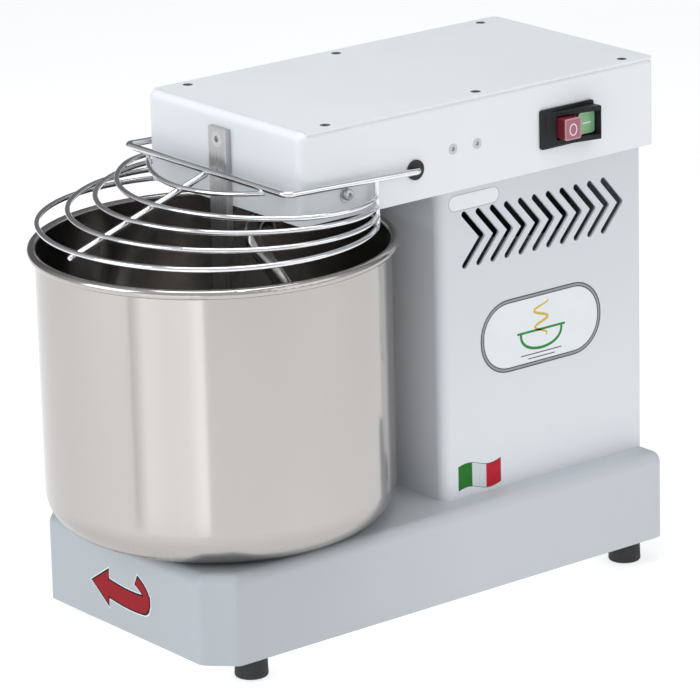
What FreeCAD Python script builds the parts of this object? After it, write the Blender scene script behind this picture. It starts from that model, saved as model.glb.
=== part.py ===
import FreeCAD, Part
import math
import os

os.makedirs("parts", exist_ok=True)

# Ten-litre bench spiral dough mixer. Millimetres, +Z up. The bowl is at the front (-Y) and the
# switch is on the right-hand side (+X). The origin is the middle of the footprint, at the floor.
# A motor in the column drives a two-stage gearbox; its output shaft runs from the base to the head
# and turns the bowl through the lower chain and the spiral through the upper chain.

# Bowl: deep-drawn stainless steel pot with a rolled rim
bowl_radius = 130.0
bowl_wall = 1.5
bowl_rim_tube = 3.6
bowl_rim_step = 5.5              # how far the rim stands out from the wall
bowl_bottom = 89.5
bowl_rim_top = 301.5
bowl_corner = 28.0
hub_radius = 46.0
hub_hole = 48.5
hub_thickness = 6.0

# Heights
foot_height = 20.0
base_top = 88.0
head_bottom = 326.0
head_top = 394.0
sheet = 2.0                      # casing sheet thickness

# Column. Distances called front, rear or first are measured back from the bowl axis.
column_half_width = 90.0
column_gap = 3.1                 # between the bowl's rim and the column
column_front = bowl_radius + bowl_rim_step + column_gap
column_depth = 197.4
column_rear = column_front + column_depth
column_corner = 8.0
vent_count = 11
vent_pitch = 13.6
vent_first = column_front + 23.8
vent_reach = 17.0
vent_half_height = 19.5
vent_middle = 286.6
vent_width = 5.0

# Head
head_half_width = 92.0
head_front = 11.0
body_rear = column_rear + 12.0
head_corner = 7.0
cover_thickness = 2.0
cover_inset = 7.0
cover_screw_x = head_half_width - 10.0
cover_screw_rows = (head_front + 31.0, (head_front + body_rear) / 2 + 2.5, body_rear - 23.0)

# Base casing
base_half_width = bowl_radius - 17.0
base_front = 38.0 - bowl_radius
base_rear = column_rear + 3.5
base_chamfer = 20.0
base_corner = 10.0
base_edge = 8.0

# Feet
foot_radius = 12.5
foot_x = base_half_width - 23.0
foot_front = base_front + 47.0
foot_back = base_rear - 22.0

# Breaker bar
bar_width = 21.0
bar_depth = 5.0
bar_top = 383.0
bar_bottom = 108.0
bar_screw_heights = (374.6, 350.0)
bar_screw_head = 6.0
bar_screw_radius = 3.0

# Spiral tool
spiral_back = bowl_radius * 0.5152
spiral_radius = bowl_radius * 0.3346
spiral_bar_radius = 6.5
spiral_hub_radius = 25.0
spiral_hub_top = 318.0
spiral_hub_bottom = 300.0

# Guard
guard_pivot = column_front - 23.1
guard_pivot_height = 349.2
guard_side_x = head_half_width + 5.0
guard_wire = 2.5
guard_ring_wire = 2.0
guard_bar = -5.5
guard_bar_height = 354.0
guard_rod = 75.5 * bowl_radius / 130.0
guard_corner = 6.0
guard_elbow = 3.2
guard_stop = 52.0
strut_front_height = 350.5
strut_slope = 0.3257
ring_above_strut = 3.5
scale = bowl_radius / 130.0
ring_fronts = (-30.0 * scale, -55.0 * scale, -77.0 * scale, -100.0 * scale, -124.0 * scale)
ring_bulges = (16.6 * scale, 18.3 * scale, 25.6 * scale, 32.3 * scale)
ring_widest = (32.9 * scale, 28.6 * scale, 11.5 * scale, -4.7 * scale)

# Chains, 9.525 mm pitch
chain_pitch = 9.525
roller_radius = 3.175
chain_pin_radius = 1.6
bowl_teeth = 50
lower_teeth = 10
spiral_teeth = 19
upper_teeth = 17
lower_chain_height = 70.0
upper_chain_height = 358.0

# Gears
pinion_teeth = 17
wheel_teeth = 60
first_module = 1.25
second_module = 1.5
gear_play = 0.15

# Gearbox and motor
drive_back = column_front + 61.7
motor_back = column_front + 138.4
gearbox_floor = 8.0
gearbox_inner_top = 138.0
gearbox_cover_top = 152.0
gearbox_wall = 4.0
frame_radius = 50.0
frame_bottom = 160.0
frame_top = 262.0
stator_radius = 44.0
rotor_radius = 25.6
fan_cover_top = 298.0

# Switch
switch_front = column_front + 95.6
switch_back = switch_front + 52.0
switch_low = 342.0
switch_high = 372.0
button_low = 348.3
button_high = 364.7
stop_reach = 12.5                # how far the buttons stand out from the head's side
start_reach = 5.5
shroud_reach = 12.0

# The footprint's middle: the bowl's rim is its front and the head its rear
bowl_y = (bowl_radius + bowl_rim_step - body_rear) / 2

X = FreeCAD.Vector(1, 0, 0)
Y = FreeCAD.Vector(0, 1, 0)
Z = FreeCAD.Vector(0, 0, 1)


def back(distance):
    """Y of a place that lies this far behind the bowl axis."""
    return bowl_y + distance


def point(x, y, z):
    return FreeCAD.Vector(x, y, z)


def box(x0, x1, y0, y1, z0, z1):
    return Part.makeBox(x1 - x0, y1 - y0, z1 - z0, point(x0, y0, z0))


def cylinder(radius, x, y, z0, z1):
    return Part.makeCylinder(radius, z1 - z0, point(x, y, z0))


def tube(outer, inner, x, y, z0, z1):
    return cylinder(outer, x, y, z0, z1).cut(cylinder(inner, x, y, z0 - 1, z1 + 1))


def rod(radius, start, end):
    """Round bar from start to end."""
    run = end.sub(start)
    return Part.makeCylinder(radius, run.Length, start, run)


def ball(radius, place):
    return Part.makeSphere(radius, place)


def fuse(shapes):
    whole = shapes[0]
    if len(shapes) > 1:
        whole = whole.multiFuse(shapes[1:])
    return whole.removeSplitter()


def solids(shapes):
    found = []
    for shape in shapes:
        found.extend(shape.Solids)
    return found


def save(name, shapes):
    """Write the solids as one sub-part."""
    found = solids(shapes)
    for solid in found:
        if not solid.isValid():
            print("not valid:", name)
    whole = found[0]
    if len(found) > 1:
        whole = Part.makeCompound(found)
    whole.exportStep("parts/" + name + ".step")


def outline(points, radii, height):
    """Closed wire through the corners at this height, each corner rounded by its radius."""
    edges = []
    ends = []
    count = len(points)
    for i in range(count):
        here = point(points[i][0], points[i][1], height)
        before = point(points[i - 1][0], points[i - 1][1], height)
        after = point(points[(i + 1) % count][0], points[(i + 1) % count][1], height)
        radius = radii[i]
        if radius <= 0:
            ends.append((here, here, None))
            continue
        a = before.sub(here).normalize()
        b = after.sub(here).normalize()
        half = a.getAngle(b) / 2
        trim = radius / math.tan(half)
        middle = a.add(b).normalize()
        centre = here.add(middle.multiply(radius / math.sin(half)))
        inner = here.sub(centre).normalize().multiply(radius).add(centre)
        ends.append((here.add(a.multiply(trim)), here.add(b.multiply(trim)), inner))
    for i in range(count):
        start, end, inner = ends[i]
        if inner is not None:
            edges.append(Part.Arc(start, inner, end).toShape())
        edges.append(Part.makeLine(end, ends[(i + 1) % count][0]))
    return Part.Wire(edges)


def slab(points, radii, z0, z1):
    return Part.Face(outline(points, radii, z0)).extrude(point(0, 0, z1 - z0))


def rectangle(x0, x1, y0, y1):
    return [(x0, y0), (x1, y0), (x1, y1), (x0, y1)]


def rounded_box(x0, x1, y0, y1, z0, z1, front, rear):
    """Upright box with rounded vertical edges, one radius in front and one behind."""
    return slab(rectangle(x0, x1, y0, y1), [front, front, rear, rear], z0, z1)


def round_ended(a, b, z0, z1, half_height):
    """Plate from a to b with round ends, as a chain link or a slot."""
    along = b.sub(a).normalize()
    across = point(-along.y, along.x, 0).multiply(half_height)
    low_a = point(a.x, a.y, z0)
    low_b = point(b.x, b.y, z0)
    tip_a = low_a.sub(point(*along).multiply(half_height))
    tip_b = low_b.add(point(*along).multiply(half_height))
    edges = [Part.makeLine(low_a.add(across), low_b.add(across))]
    edges.append(Part.Arc(low_b.add(across), tip_b, low_b.sub(across)).toShape())
    edges.append(Part.makeLine(low_b.sub(across), low_a.sub(across)))
    edges.append(Part.Arc(low_a.sub(across), tip_a, low_a.add(across)).toShape())
    return Part.Face(Part.Wire(edges)).extrude(point(0, 0, z1 - z0))


def edges_at(shape, height):
    found = []
    for edge in shape.Edges:
        low = edge.BoundBox.ZMin
        high = edge.BoundBox.ZMax
        if abs(low - height) < 1e-4 and abs(high - height) < 1e-4:
            found.append(edge)
    return found


def side_cut(shape, cutters):
    return shape.cut(Part.makeCompound(cutters))


def pan_screw(place, direction, head_radius, head_height, shank_radius, length):
    """Screw with a domed head outside the surface at place; direction points out of the surface."""
    head = Part.makeCylinder(head_radius, head_height, place, direction)
    rim = []
    for edge in head.Edges:
        on_top = edge.CenterOfMass.sub(place).dot(direction) > head_height - 1e-3
        if on_top and edge.Curve.TypeId == "Part::GeomCircle":
            rim.append(edge)
    head = head.makeFillet(head_height * 0.55, rim)
    shank = Part.makeCylinder(shank_radius, length, place, direction.negative())
    socket_at = place.add(point(*direction).multiply(head_height * 0.45))
    socket = hexagon(socket_at, direction, head_radius * 0.42, head_height)
    return head.fuse(shank).cut(socket)


def hexagon(place, direction, radius, length):
    """Six-sided prism of this corner radius along direction."""
    side = X if abs(direction.x) < 0.9 else Y
    u = direction.cross(side).normalize()
    v = direction.cross(u).normalize()
    corners = []
    for i in range(7):
        turn = i * math.pi / 3
        along = point(*u).multiply(radius * math.cos(turn))
        across = point(*v).multiply(radius * math.sin(turn))
        corners.append(place.add(along).add(across))
    return Part.Face(Part.makePolygon(corners)).extrude(point(*direction).multiply(length))


def countersunk_screw(place, direction, head_radius, shank_radius, length):
    """Flush screw with a conical head and a hexagon socket."""
    inward = direction.negative()
    depth = head_radius - shank_radius
    head = Part.makeCone(head_radius, shank_radius, depth, place, inward)
    shank = Part.makeCylinder(shank_radius, length, place, inward)
    key = hexagon(place.add(point(*inward).multiply(depth * 0.7)), direction, head_radius * 0.45, depth)
    return head.fuse(shank).cut(key)


def countersink(place, direction, head_radius, shank_radius, length):
    """Hole that a flush screw of the same sizes sits in."""
    inward = direction.negative()
    depth = head_radius - shank_radius
    cone = Part.makeCone(head_radius, shank_radius, depth, place, inward)
    return cone.fuse(Part.makeCylinder(shank_radius, length, place, inward))


def hex_bolt(x, y, z, up, across, head, shank_radius, length):
    """Bolt whose head's bearing face is at z; up is 1 with the head above and -1 with it below."""
    direction = point(0, 0, up)
    head_shape = hexagon(point(x, y, z), direction, across / math.sqrt(3), head)
    shank = Part.makeCylinder(shank_radius, length, point(x, y, z), direction.negative())
    return head_shape.fuse(shank)


def bearing(inner, outer, width, count, x, y, z):
    """Ball bearing: the outer ring, the inner ring, and the balls, from z upwards."""
    middle = (inner + outer) / 4
    radius = (outer - inner) / 4 * 0.62
    shoulder = radius * 0.45
    height = z + width / 2
    groove = Part.makeTorus(middle, radius + 0.05, point(x, y, height), Z)
    ring_out = tube(outer / 2, middle + shoulder, x, y, z, z + width).cut(groove)
    ring_in = tube(middle - shoulder, inner / 2, x, y, z, z + width).cut(groove)
    balls = []
    for i in range(count):
        turn = 2 * math.pi * i / count
        place = point(x + middle * math.cos(turn), y + middle * math.sin(turn), height)
        balls.append(ball(radius, place))
    return ring_out, [ring_in] + balls


def involute(angle):
    return math.tan(angle) - angle


def gear(module, teeth, x, y, z0, z1, phase, bore):
    """Spur gear with 20 degree involute teeth; phase turns it, in degrees, from a tooth on +X."""
    pressure = math.radians(20)
    pitch = module * teeth / 2
    base = pitch * math.cos(pressure)
    tip = pitch + module
    root = pitch - 1.25 * module
    half_tooth = math.pi / 2 / teeth - 0.02 / pitch
    points = []
    for tooth in range(teeth):
        middle = 2 * math.pi * tooth / teeth + math.radians(phase)
        flank = []
        for step in range(6):
            radius = max(base, root) + (tip - max(base, root)) * step / 5
            turn = math.acos(min(1.0, base / radius))
            width = half_tooth + involute(pressure) - involute(turn)
            flank.append((radius, width))
        left = [(root, flank[0][1])] + flank
        for radius, width in left:
            turn = middle - width
            points.append(point(x + radius * math.cos(turn), y + radius * math.sin(turn), z0))
        for radius, width in reversed(left):
            turn = middle + width
            points.append(point(x + radius * math.cos(turn), y + radius * math.sin(turn), z0))
    points.append(points[0])
    blank = Part.Face(Part.makePolygon(points)).extrude(point(0, 0, z1 - z0))
    return blank.cut(cylinder(bore, x, y, z0 - 1, z1 + 1))


def sprocket_radius(teeth):
    return chain_pitch / 2 / math.sin(math.pi / teeth)


def chain_length(centre, small, large):
    """Length in pitches of a chain round two sprockets, with arcs counted by their teeth."""
    rise = sprocket_radius(large) - sprocket_radius(small)
    lean = math.asin(rise / centre)
    straight = math.sqrt(centre * centre - rise * rise)
    arcs = small * (0.5 - lean / math.pi) + large * (0.5 + lean / math.pi)
    return 2 * straight / chain_pitch + arcs


def chain_centre(small, large, links):
    """Centre distance at which the chain has a whole number of links."""
    low = sprocket_radius(large) - sprocket_radius(small) + 1
    high = links * chain_pitch
    for _ in range(80):
        middle = (low + high) / 2
        if chain_length(middle, small, large) < links:
            low = middle
        else:
            high = middle
    return (low + high) / 2


def sprocket(teeth, x, y, height, width, phase, bore, hub, hub_low, hub_high):
    """Chain sprocket with round roller seats, centred on height, with a hub from hub_low to hub_high."""
    pitch = sprocket_radius(teeth)
    seat = roller_radius + 0.08
    tip = pitch + 2.0
    spread = min(1.6, tip * math.sin(math.pi / teeth) - seat - 0.35)
    edges = []
    step = 2 * math.pi / teeth

    def polar(radius, turn):
        return point(x + radius * math.cos(turn), y + radius * math.sin(turn), height - width / 2)

    for gap in range(teeth):
        middle = gap * step + math.radians(phase)
        centre = polar(pitch, middle)
        out = point(math.cos(middle), math.sin(middle), 0)
        across = point(-math.sin(middle), math.cos(middle), 0)
        low = centre.sub(point(*out).multiply(seat))
        right = centre.sub(point(*across).multiply(seat))
        left = centre.add(point(*across).multiply(seat))
        turn = math.asin((seat + spread) / tip)
        right_tip = polar(tip, middle - turn)
        left_tip = polar(tip, middle + turn)
        next_tip = polar(tip, middle + step - turn)
        edges.append(Part.makeLine(right_tip, right))
        edges.append(Part.Arc(right, low, left).toShape())
        edges.append(Part.makeLine(left, left_tip))
        edges.append(Part.Arc(left_tip, polar(tip, middle + step / 2), next_tip).toShape())
    plate = Part.Face(Part.Wire(edges)).extrude(point(0, 0, width))
    boss = cylinder(hub, x, y, hub_low, hub_high)
    return plate.fuse(boss).cut(cylinder(bore, x, y, hub_low - 20, hub_high + 20))


def chain_places(front_teeth, front_y, rear_teeth, rear_y, links):
    """Roller centres of a chain round two sprockets on the Y axis, evenly spaced round the loop."""
    rise = sprocket_radius(front_teeth) - sprocket_radius(rear_teeth)
    centre = rear_y - front_y
    lean = math.asin(rise / centre)
    front = sprocket_radius(front_teeth)
    rear = sprocket_radius(rear_teeth)
    straight = math.sqrt(centre * centre - rise * rise) / chain_pitch
    front_arc = front_teeth * (0.5 + lean / math.pi)
    rear_arc = rear_teeth * (0.5 - lean / math.pi)
    places = []
    for i in range(links):
        s = float(i)
        if s <= front_arc:
            turn = 3 * math.pi / 2 + (s - front_arc / 2) / front_teeth * 2 * math.pi
            places.append((front * math.cos(turn), front_y + front * math.sin(turn)))
        elif s <= front_arc + straight:
            u = (s - front_arc) / straight
            start_turn = 3 * math.pi / 2 + front_arc / front_teeth * math.pi
            a = (front * math.cos(start_turn), front_y + front * math.sin(start_turn))
            b = (rear * math.cos(start_turn), rear_y + rear * math.sin(start_turn))
            places.append((a[0] + (b[0] - a[0]) * u, a[1] + (b[1] - a[1]) * u))
        elif s <= front_arc + straight + rear_arc:
            start_turn = 3 * math.pi / 2 + front_arc / front_teeth * math.pi
            turn = start_turn + (s - front_arc - straight) / rear_teeth * 2 * math.pi
            places.append((rear * math.cos(turn), rear_y + rear * math.sin(turn)))
        else:
            u = (s - front_arc - straight - rear_arc) / straight
            end_turn = 3 * math.pi / 2 - front_arc / front_teeth * math.pi
            a = (rear * math.cos(end_turn), rear_y + rear * math.sin(end_turn))
            b = (front * math.cos(end_turn), front_y + front * math.sin(end_turn))
            places.append((a[0] + (b[0] - a[0]) * u, a[1] + (b[1] - a[1]) * u))
    return places


def chain(places, height):
    """Roller chain: inner links with their rollers, and outer links with their pins."""
    links = []
    count = len(places)
    for i in range(count):
        a = point(places[i][0], places[i][1], 0)
        b = point(places[(i + 1) % count][0], places[(i + 1) % count][1], 0)
        if i % 2 == 0:
            low = round_ended(a, b, height - 4.2, height - 2.9, 4.0)
            high = round_ended(a, b, height + 2.9, height + 4.2, 4.0)
            rollers = [cylinder(roller_radius, p.x, p.y, height - 3.5, height + 3.5) for p in (a, b)]
            shape = fuse([low, high] + rollers)
            for p in (a, b):
                shape = shape.cut(cylinder(chain_pin_radius + 0.05, p.x, p.y, height - 6, height + 6))
        else:
            low = round_ended(a, b, height - 5.6, height - 4.4, 3.8)
            high = round_ended(a, b, height + 4.4, height + 5.6, 3.8)
            pins = [cylinder(chain_pin_radius, p.x, p.y, height - 6.3, height + 6.3) for p in (a, b)]
            shape = fuse([low, high] + pins)
        links.append(shape)
    return links


def round_wire(path, radius):
    """Bar of round section along a smooth wire."""
    start = path.OrderedEdges[0]
    first = start.firstVertex(True).Point
    direction = start.tangentAt(start.FirstParameter)
    if start.Orientation == "Reversed":
        direction = start.tangentAt(start.LastParameter).negative()
    ring = Part.Wire([Part.makeCircle(radius, first, direction)])
    return path.makePipeShell([ring], True, False)


# Shaft places that follow from the chains and gears
lower_links = 2 * round(chain_length(drive_back, lower_teeth, bowl_teeth) / 2)
drive_y = bowl_y + chain_centre(lower_teeth, bowl_teeth, lower_links)
upper_links = 2 * round(chain_length(drive_y - bowl_y - spiral_back, upper_teeth, spiral_teeth) / 2)
spiral_y = drive_y - chain_centre(upper_teeth, spiral_teeth, upper_links)
motor_y = back(motor_back)
first_centre = first_module * (pinion_teeth + wheel_teeth) / 2 + gear_play
second_centre = second_module * (pinion_teeth + wheel_teeth) / 2 + gear_play
span = motor_y - drive_y
lay_along = (span ** 2 + second_centre ** 2 - first_centre ** 2) / (2 * span)
lay_x = math.sqrt(second_centre ** 2 - lay_along ** 2)
lay_y = drive_y + lay_along

bearing_outers = []

# ---------------------------------------------------------------- base casing
def base_corners(inset):
    """Plan of the base with bevelled front corners, drawn in from the outside by inset."""
    w = base_half_width - inset
    f = back(base_front) + inset
    r = back(base_rear) - inset
    c = base_chamfer - inset * (2 - math.sqrt(2))
    return [(-w + c, f), (w - c, f), (w, f + c), (w, r), (-w, r), (-w, f + c)]


def base_radii(inset):
    soft = 6.0
    return [soft, soft, soft, base_corner - inset, base_corner - inset, soft]


base_outer = slab(base_corners(0), base_radii(0), foot_height, base_top)
base_outer = base_outer.makeFillet(base_edge, edges_at(base_outer, base_top))
base_inner = slab(base_corners(sheet), base_radii(sheet), foot_height, base_top - sheet)
base_inner = base_inner.makeFillet(base_edge - sheet, edges_at(base_inner, base_top - sheet))
column_bolt_places = []
for side in (-1, 1):
    for depth in (column_front + 10.0, column_rear - 10.0):
        column_bolt_places.append((side * (column_half_width - 10.0), back(depth)))
gearbox_front = column_front + 10.0
gearbox_back = column_rear - 4.0
gearbox_bolt_places = []
for side in (-1, 1):
    for depth in (gearbox_front + 7.0, gearbox_back - 8.0):
        gearbox_bolt_places.append((side * 47.0, back(depth)))
cutters = [base_inner]
cutters.append(cylinder(hub_hole, 0, bowl_y, base_top - 5, base_top + 5))
cutters.append(cylinder(13.0, 0, drive_y, base_top - 5, base_top + 5))
for x, y in column_bolt_places:
    cutters.append(cylinder(3.0, x, y, base_top - 5, base_top + 5))
base_casing = side_cut(base_outer, cutters)
save("base_casing", [base_casing])

# ---------------------------------------------------------------- floor plate and feet
plate_low = foot_height
plate_high = foot_height + 3.0
floor_plate = slab(base_corners(sheet + 0.3), base_radii(sheet + 0.3), plate_low, plate_high)
foot_places = []
for side in (-1, 1):
    for depth in (foot_front, foot_back):
        foot_places.append((side * foot_x, back(depth)))
housing_bolts = []
for i in range(4):
    turn = math.pi / 4 + i * math.pi / 2
    housing_bolts.append((48.0 * math.cos(turn), bowl_y + 48.0 * math.sin(turn), plate_high + 8))
    housing_bolts.append((36.0 * math.cos(turn), drive_y + 36.0 * math.sin(turn), plate_high + 8))
cutters = []
for x, y in foot_places:
    cutters.append(cylinder(4.0, x, y, plate_low - 1, plate_high + 1))
for x, y, z in housing_bolts:
    cutters.append(cylinder(3.0, x, y, plate_low - 1, plate_high + 1))
save("base_floor_plate", [side_cut(floor_plate, cutters)])

feet = []
foot_bolts = []
for x, y in foot_places:
    foot = Part.makeCone(foot_radius, foot_radius - 0.7, foot_height, point(x, y, 0))
    foot = foot.makeFillet(1.5, edges_at(foot, 0.0))
    foot = foot.cut(cylinder(7.5, x, y, -1, 9.0)).cut(cylinder(4.0, x, y, -1, foot_height + 1))
    feet.append(foot)
    bolt = hex_bolt(x, y, 9.0, -1, 13.0, 5.3, 4.0, 22.0)
    foot_bolts.append(bolt)
    nut = hexagon(point(x, y, plate_high), Z, 13.0 / math.sqrt(3), 6.5)
    foot_bolts.append(nut.cut(cylinder(4.0, x, y, plate_low, plate_high + 10)))
save("rubber_feet", feet)
save("foot_bolts", foot_bolts)

# ---------------------------------------------------------------- column casing
col_x = column_half_width
col_y0 = back(column_front)
col_y1 = back(column_rear)
column_block = rounded_box(-col_x, col_x, col_y0, col_y1, base_top, head_bottom, column_corner, 3.0)
inside = rounded_box(
    -col_x + sheet, col_x - sheet, back(column_front) + sheet, back(column_rear) - sheet,
    base_top - 1, head_bottom + 1, column_corner - sheet, 1.0,
)
cutters = [inside]
cutters.append(box(-74, 74, back(column_rear) - 5, back(column_rear) + 5, 98, 314))
for side in (-1, 1):
    for i in range(vent_count):
        start = back(vent_first + i * vent_pitch)
        middle = point(start + vent_reach, vent_middle, 0)
        for end in (vent_middle + vent_half_height, vent_middle - vent_half_height):
            slot = round_ended(point(start, end, 0), middle, 0, 10, vent_width / 2)
            slot.rotate(point(0, 0, 0), point(1, 1, 1), 120)
            slot.translate(point(col_x - 5 if side > 0 else -col_x - 5, 0, 0))
            cutters.append(slot)
column = side_cut(column_block, cutters)
lugs = []
for x, y in column_bolt_places:
    for z in (base_top, head_bottom - 4.0):
        side = 1 if x > 0 else -1
        rear = y > back(200)
        x0 = x - 8 if side > 0 else x - 9
        x1 = x + 9 if side > 0 else x + 8
        y0 = y - 8 if rear else y - 9
        y1 = y + 9 if rear else y + 8
        lugs.append(box(x0, x1, y0, y1, z, z + 4.0))
column = fuse([column] + lugs)
column = column.common(column_block)
cutters = []
for x, y in column_bolt_places:
    cutters.append(cylinder(3.0, x, y, base_top - 1, head_bottom + 1))
gland_place = point(-58, back(column_rear) - sheet, 172)
rear_screw_places = []
for x in (-79.0, 79.0):
    for z in (104.0, 206.0, 308.0):
        rear_screw_places.append(point(x, back(column_rear) + 1.5, z))
for place in rear_screw_places:
    cutters.append(Part.makeCylinder(2.0, 8, place.sub(point(0, 7, 0)), Y))
column = side_cut(column, cutters)
save("column_casing", [column])

rear_cover = box(-85, 85, back(column_rear), back(column_rear) + 1.5, 94, 318)
cutters = [Part.makeCylinder(8.0, 8, point(gland_place.x, back(column_rear) - 3, gland_place.z), Y)]
for place in rear_screw_places:
    cutters.append(Part.makeCylinder(2.0, 8, place.sub(point(0, 4, 0)), Y))
save("column_rear_cover", [side_cut(rear_cover, cutters)])

# ---------------------------------------------------------------- head casing
hx = head_half_width
head_y0 = back(head_front)
head_y1 = back(body_rear)
head = rounded_box(-hx, hx, head_y0, head_y1, head_bottom, head_top, head_corner, 4.0)
front_edges = []
for edge in edges_at(head, head_top):
    if edge.CenterOfMass.y < head_y0 + head_corner:
        front_edges.append(edge)
head = head.makeFillet(head_corner - 1, front_edges)
inner_head = rounded_box(
    -hx + sheet, hx - sheet, head_y0 + sheet, head_y1 - sheet,
    head_bottom + sheet, head_top - sheet - cover_thickness, head_corner - sheet, 2.0,
)
lip = box(-hx + 18, hx - 18, head_y0 + 30, head_y1 - 30, head_top - 6, head_top + 1)
cover_seat = head_top - cover_thickness
cover_recess = box(-hx - 1, hx + 1, head_y0 + cover_inset, head_y1 + 1, cover_seat, head_top + 1)
cutters = [inner_head, lip, cover_recess]
cutters.append(cylinder(32.0, 0, spiral_y, head_bottom - 1, head_bottom + 5))
cutters.append(cylinder(34.0, 0, drive_y, head_bottom - 1, head_bottom + 5))
cutters.append(box(-40, 40, drive_y + 45, back(column_rear) - 12, head_bottom - 1, head_bottom + 5))
for x, y in column_bolt_places:
    cutters.append(cylinder(3.0, x, y, head_bottom - 1, head_bottom + 5))
spiral_flange_bolts = []
drive_flange_bolts = []
for i in range(4):
    turn = math.pi / 4 + i * math.pi / 2
    spiral_flange_bolts.append((42.0 * math.cos(turn), spiral_y + 42.0 * math.sin(turn)))
    drive_flange_bolts.append((42.0 * math.cos(turn), drive_y + 42.0 * math.sin(turn)))
for x, y in spiral_flange_bolts + drive_flange_bolts:
    cutters.append(cylinder(3.0, x, y, head_bottom - 1, head_bottom + 5))
cover_screw_places = []
for depth in cover_screw_rows:
    for side in (-1, 1):
        cover_screw_places.append((side * cover_screw_x, back(depth)))
for x, y in cover_screw_places:
    cutters.append(cylinder(2.0, x, y, head_top - 12, head_top + 1))
bar_screw_places = []
for z in bar_screw_heights:
    bar_screw_places.append(point(0, head_y0 - bar_depth, z))
for place in bar_screw_places:
    cutters.append(Part.makeCylinder(bar_screw_radius, 25, place, Y))
side_screw_places = []
for side in (-1, 1):
    for depth in (column_front + 12.8, column_front + 35.8):
        side_screw_places.append((point(side * hx, back(depth), 358.0), point(side, 0, 0)))
for place, direction in side_screw_places:
    cutters.append(countersink(place, direction, 4.2, 2.3, 12))
pivot_places = []
side_bar_slope = (guard_bar_height - guard_pivot_height) / (guard_pivot - guard_bar)
stop_height = guard_pivot_height + side_bar_slope * (guard_pivot - guard_stop) - guard_wire - 6.05
for side in (-1, 1):
    pivot_places.append((point(side * hx, back(guard_pivot), guard_pivot_height), point(side, 0, 0)))
    inward = point(-side, 0, 0)
    start = point(side * (hx + 3), back(guard_pivot), guard_pivot_height)
    cutters.append(Part.makeCylinder(6.0, 10, start, inward))
    cutters.append(Part.makeCylinder(2.5, 10, point(side * (hx + 3), back(guard_stop), stop_height), inward))
switch_hole = box(
    hx - 5, hx + 5, back(switch_front) + 4, back(switch_back) - 1.8, switch_low + 3, switch_high - 3,
)
cutters.append(switch_hole)
head = side_cut(head, cutters)
save("head_casing", [head])

cover = box(-hx, hx, head_y0 + cover_inset + 0.4, head_y1, head_top - cover_thickness, head_top)
rear_edges = []
for edge in cover.Edges:
    if edge.Length < cover_thickness + 0.01 and edge.CenterOfMass.y > head_y1 - 1:
        rear_edges.append(edge)
cover = cover.makeFillet(4.0, rear_edges)
cutters = []
for x, y in cover_screw_places:
    cutters.append(countersink(point(x, y, head_top), Z, 3.8, 2.0, 12.0))
save("head_top_cover", [side_cut(cover, cutters)])

cover_screws = []
for x, y in cover_screw_places:
    cover_screws.append(countersunk_screw(point(x, y, head_top), Z, 3.8, 2.0, 8.0))
for place in rear_screw_places:
    cover_screws.append(pan_screw(place, Y, 3.8, 2.0, 2.0, 5.5))
save("cover_screws", cover_screws)

column_bolts = []
for x, y in column_bolt_places:
    column_bolts.append(hex_bolt(x, y, base_top + 4.0, 1, 10.0, 4.0, 3.0, 12.0))
    nut = hexagon(point(x, y, base_top - sheet - 4.5), Z, 10.0 / math.sqrt(3), 4.5)
    column_bolts.append(nut.cut(cylinder(3.0, x, y, base_top - 20, base_top)))
    column_bolts.append(hex_bolt(x, y, head_bottom - 4.0, -1, 10.0, 4.0, 3.0, 12.0))
    nut = hexagon(point(x, y, head_bottom + sheet), Z, 10.0 / math.sqrt(3), 4.5)
    column_bolts.append(nut.cut(cylinder(3.0, x, y, head_bottom, head_bottom + 20)))
save("column_bolts", column_bolts)

# ---------------------------------------------------------------- bowl and its drive
rim_centre = bowl_radius + bowl_rim_step - bowl_rim_tube
rim_height = bowl_rim_top - bowl_rim_tube
inner_radius = bowl_radius - bowl_wall
inner_corner = bowl_corner - bowl_wall
corner_sine = math.sin(math.pi / 4)


def bowl_profile(radius, corner, low, high):
    """Half section of a straight-sided pot with a rounded bottom edge, in the XZ plane."""
    a = point(0, 0, low)
    b = point(radius - corner, 0, low)
    middle = point(radius - corner + corner * corner_sine, 0, low + corner - corner * corner_sine)
    c = point(radius, 0, low + corner)
    d = point(radius, 0, high)
    e = point(0, 0, high)
    edges = [Part.makeLine(a, b), Part.Arc(b, middle, c).toShape()]
    edges += [Part.makeLine(c, d), Part.makeLine(d, e), Part.makeLine(e, a)]
    pot = Part.Face(Part.Wire(edges)).revolve(point(0, 0, 0), Z, 360)
    pot.translate(point(0, bowl_y, 0))
    return pot


pot = bowl_profile(bowl_radius, bowl_corner, bowl_bottom, rim_height)
hollow = bowl_profile(inner_radius, inner_corner, bowl_bottom + bowl_wall, rim_height + 5)
rim = Part.makeTorus(rim_centre, bowl_rim_tube, point(0, bowl_y, rim_height), Z)
bowl = pot.fuse(rim).cut(hollow)
hub_screw_places = []
for i in range(4):
    turn = i * math.pi / 2 + math.pi / 4
    hub_screw_places.append((26.0 * math.cos(turn), bowl_y + 26.0 * math.sin(turn)))
for x, y in hub_screw_places:
    bowl = bowl.cut(cylinder(3.0, x, y, bowl_bottom - 5, bowl_bottom + 5))
save("bowl", [bowl])

hub_low = bowl_bottom - hub_thickness
spindle = fuse([
    cylinder(hub_radius, 0, bowl_y, hub_low, bowl_bottom),
    cylinder(19.0, 0, bowl_y, hub_low - 17, hub_low),
    cylinder(12.5, 0, bowl_y, plate_high + 2, hub_low),
])
for x, y in hub_screw_places:
    spindle = spindle.cut(cylinder(3.0, x, y, hub_low - 1, bowl_bottom + 1))
save("bowl_spindle", [spindle])

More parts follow.
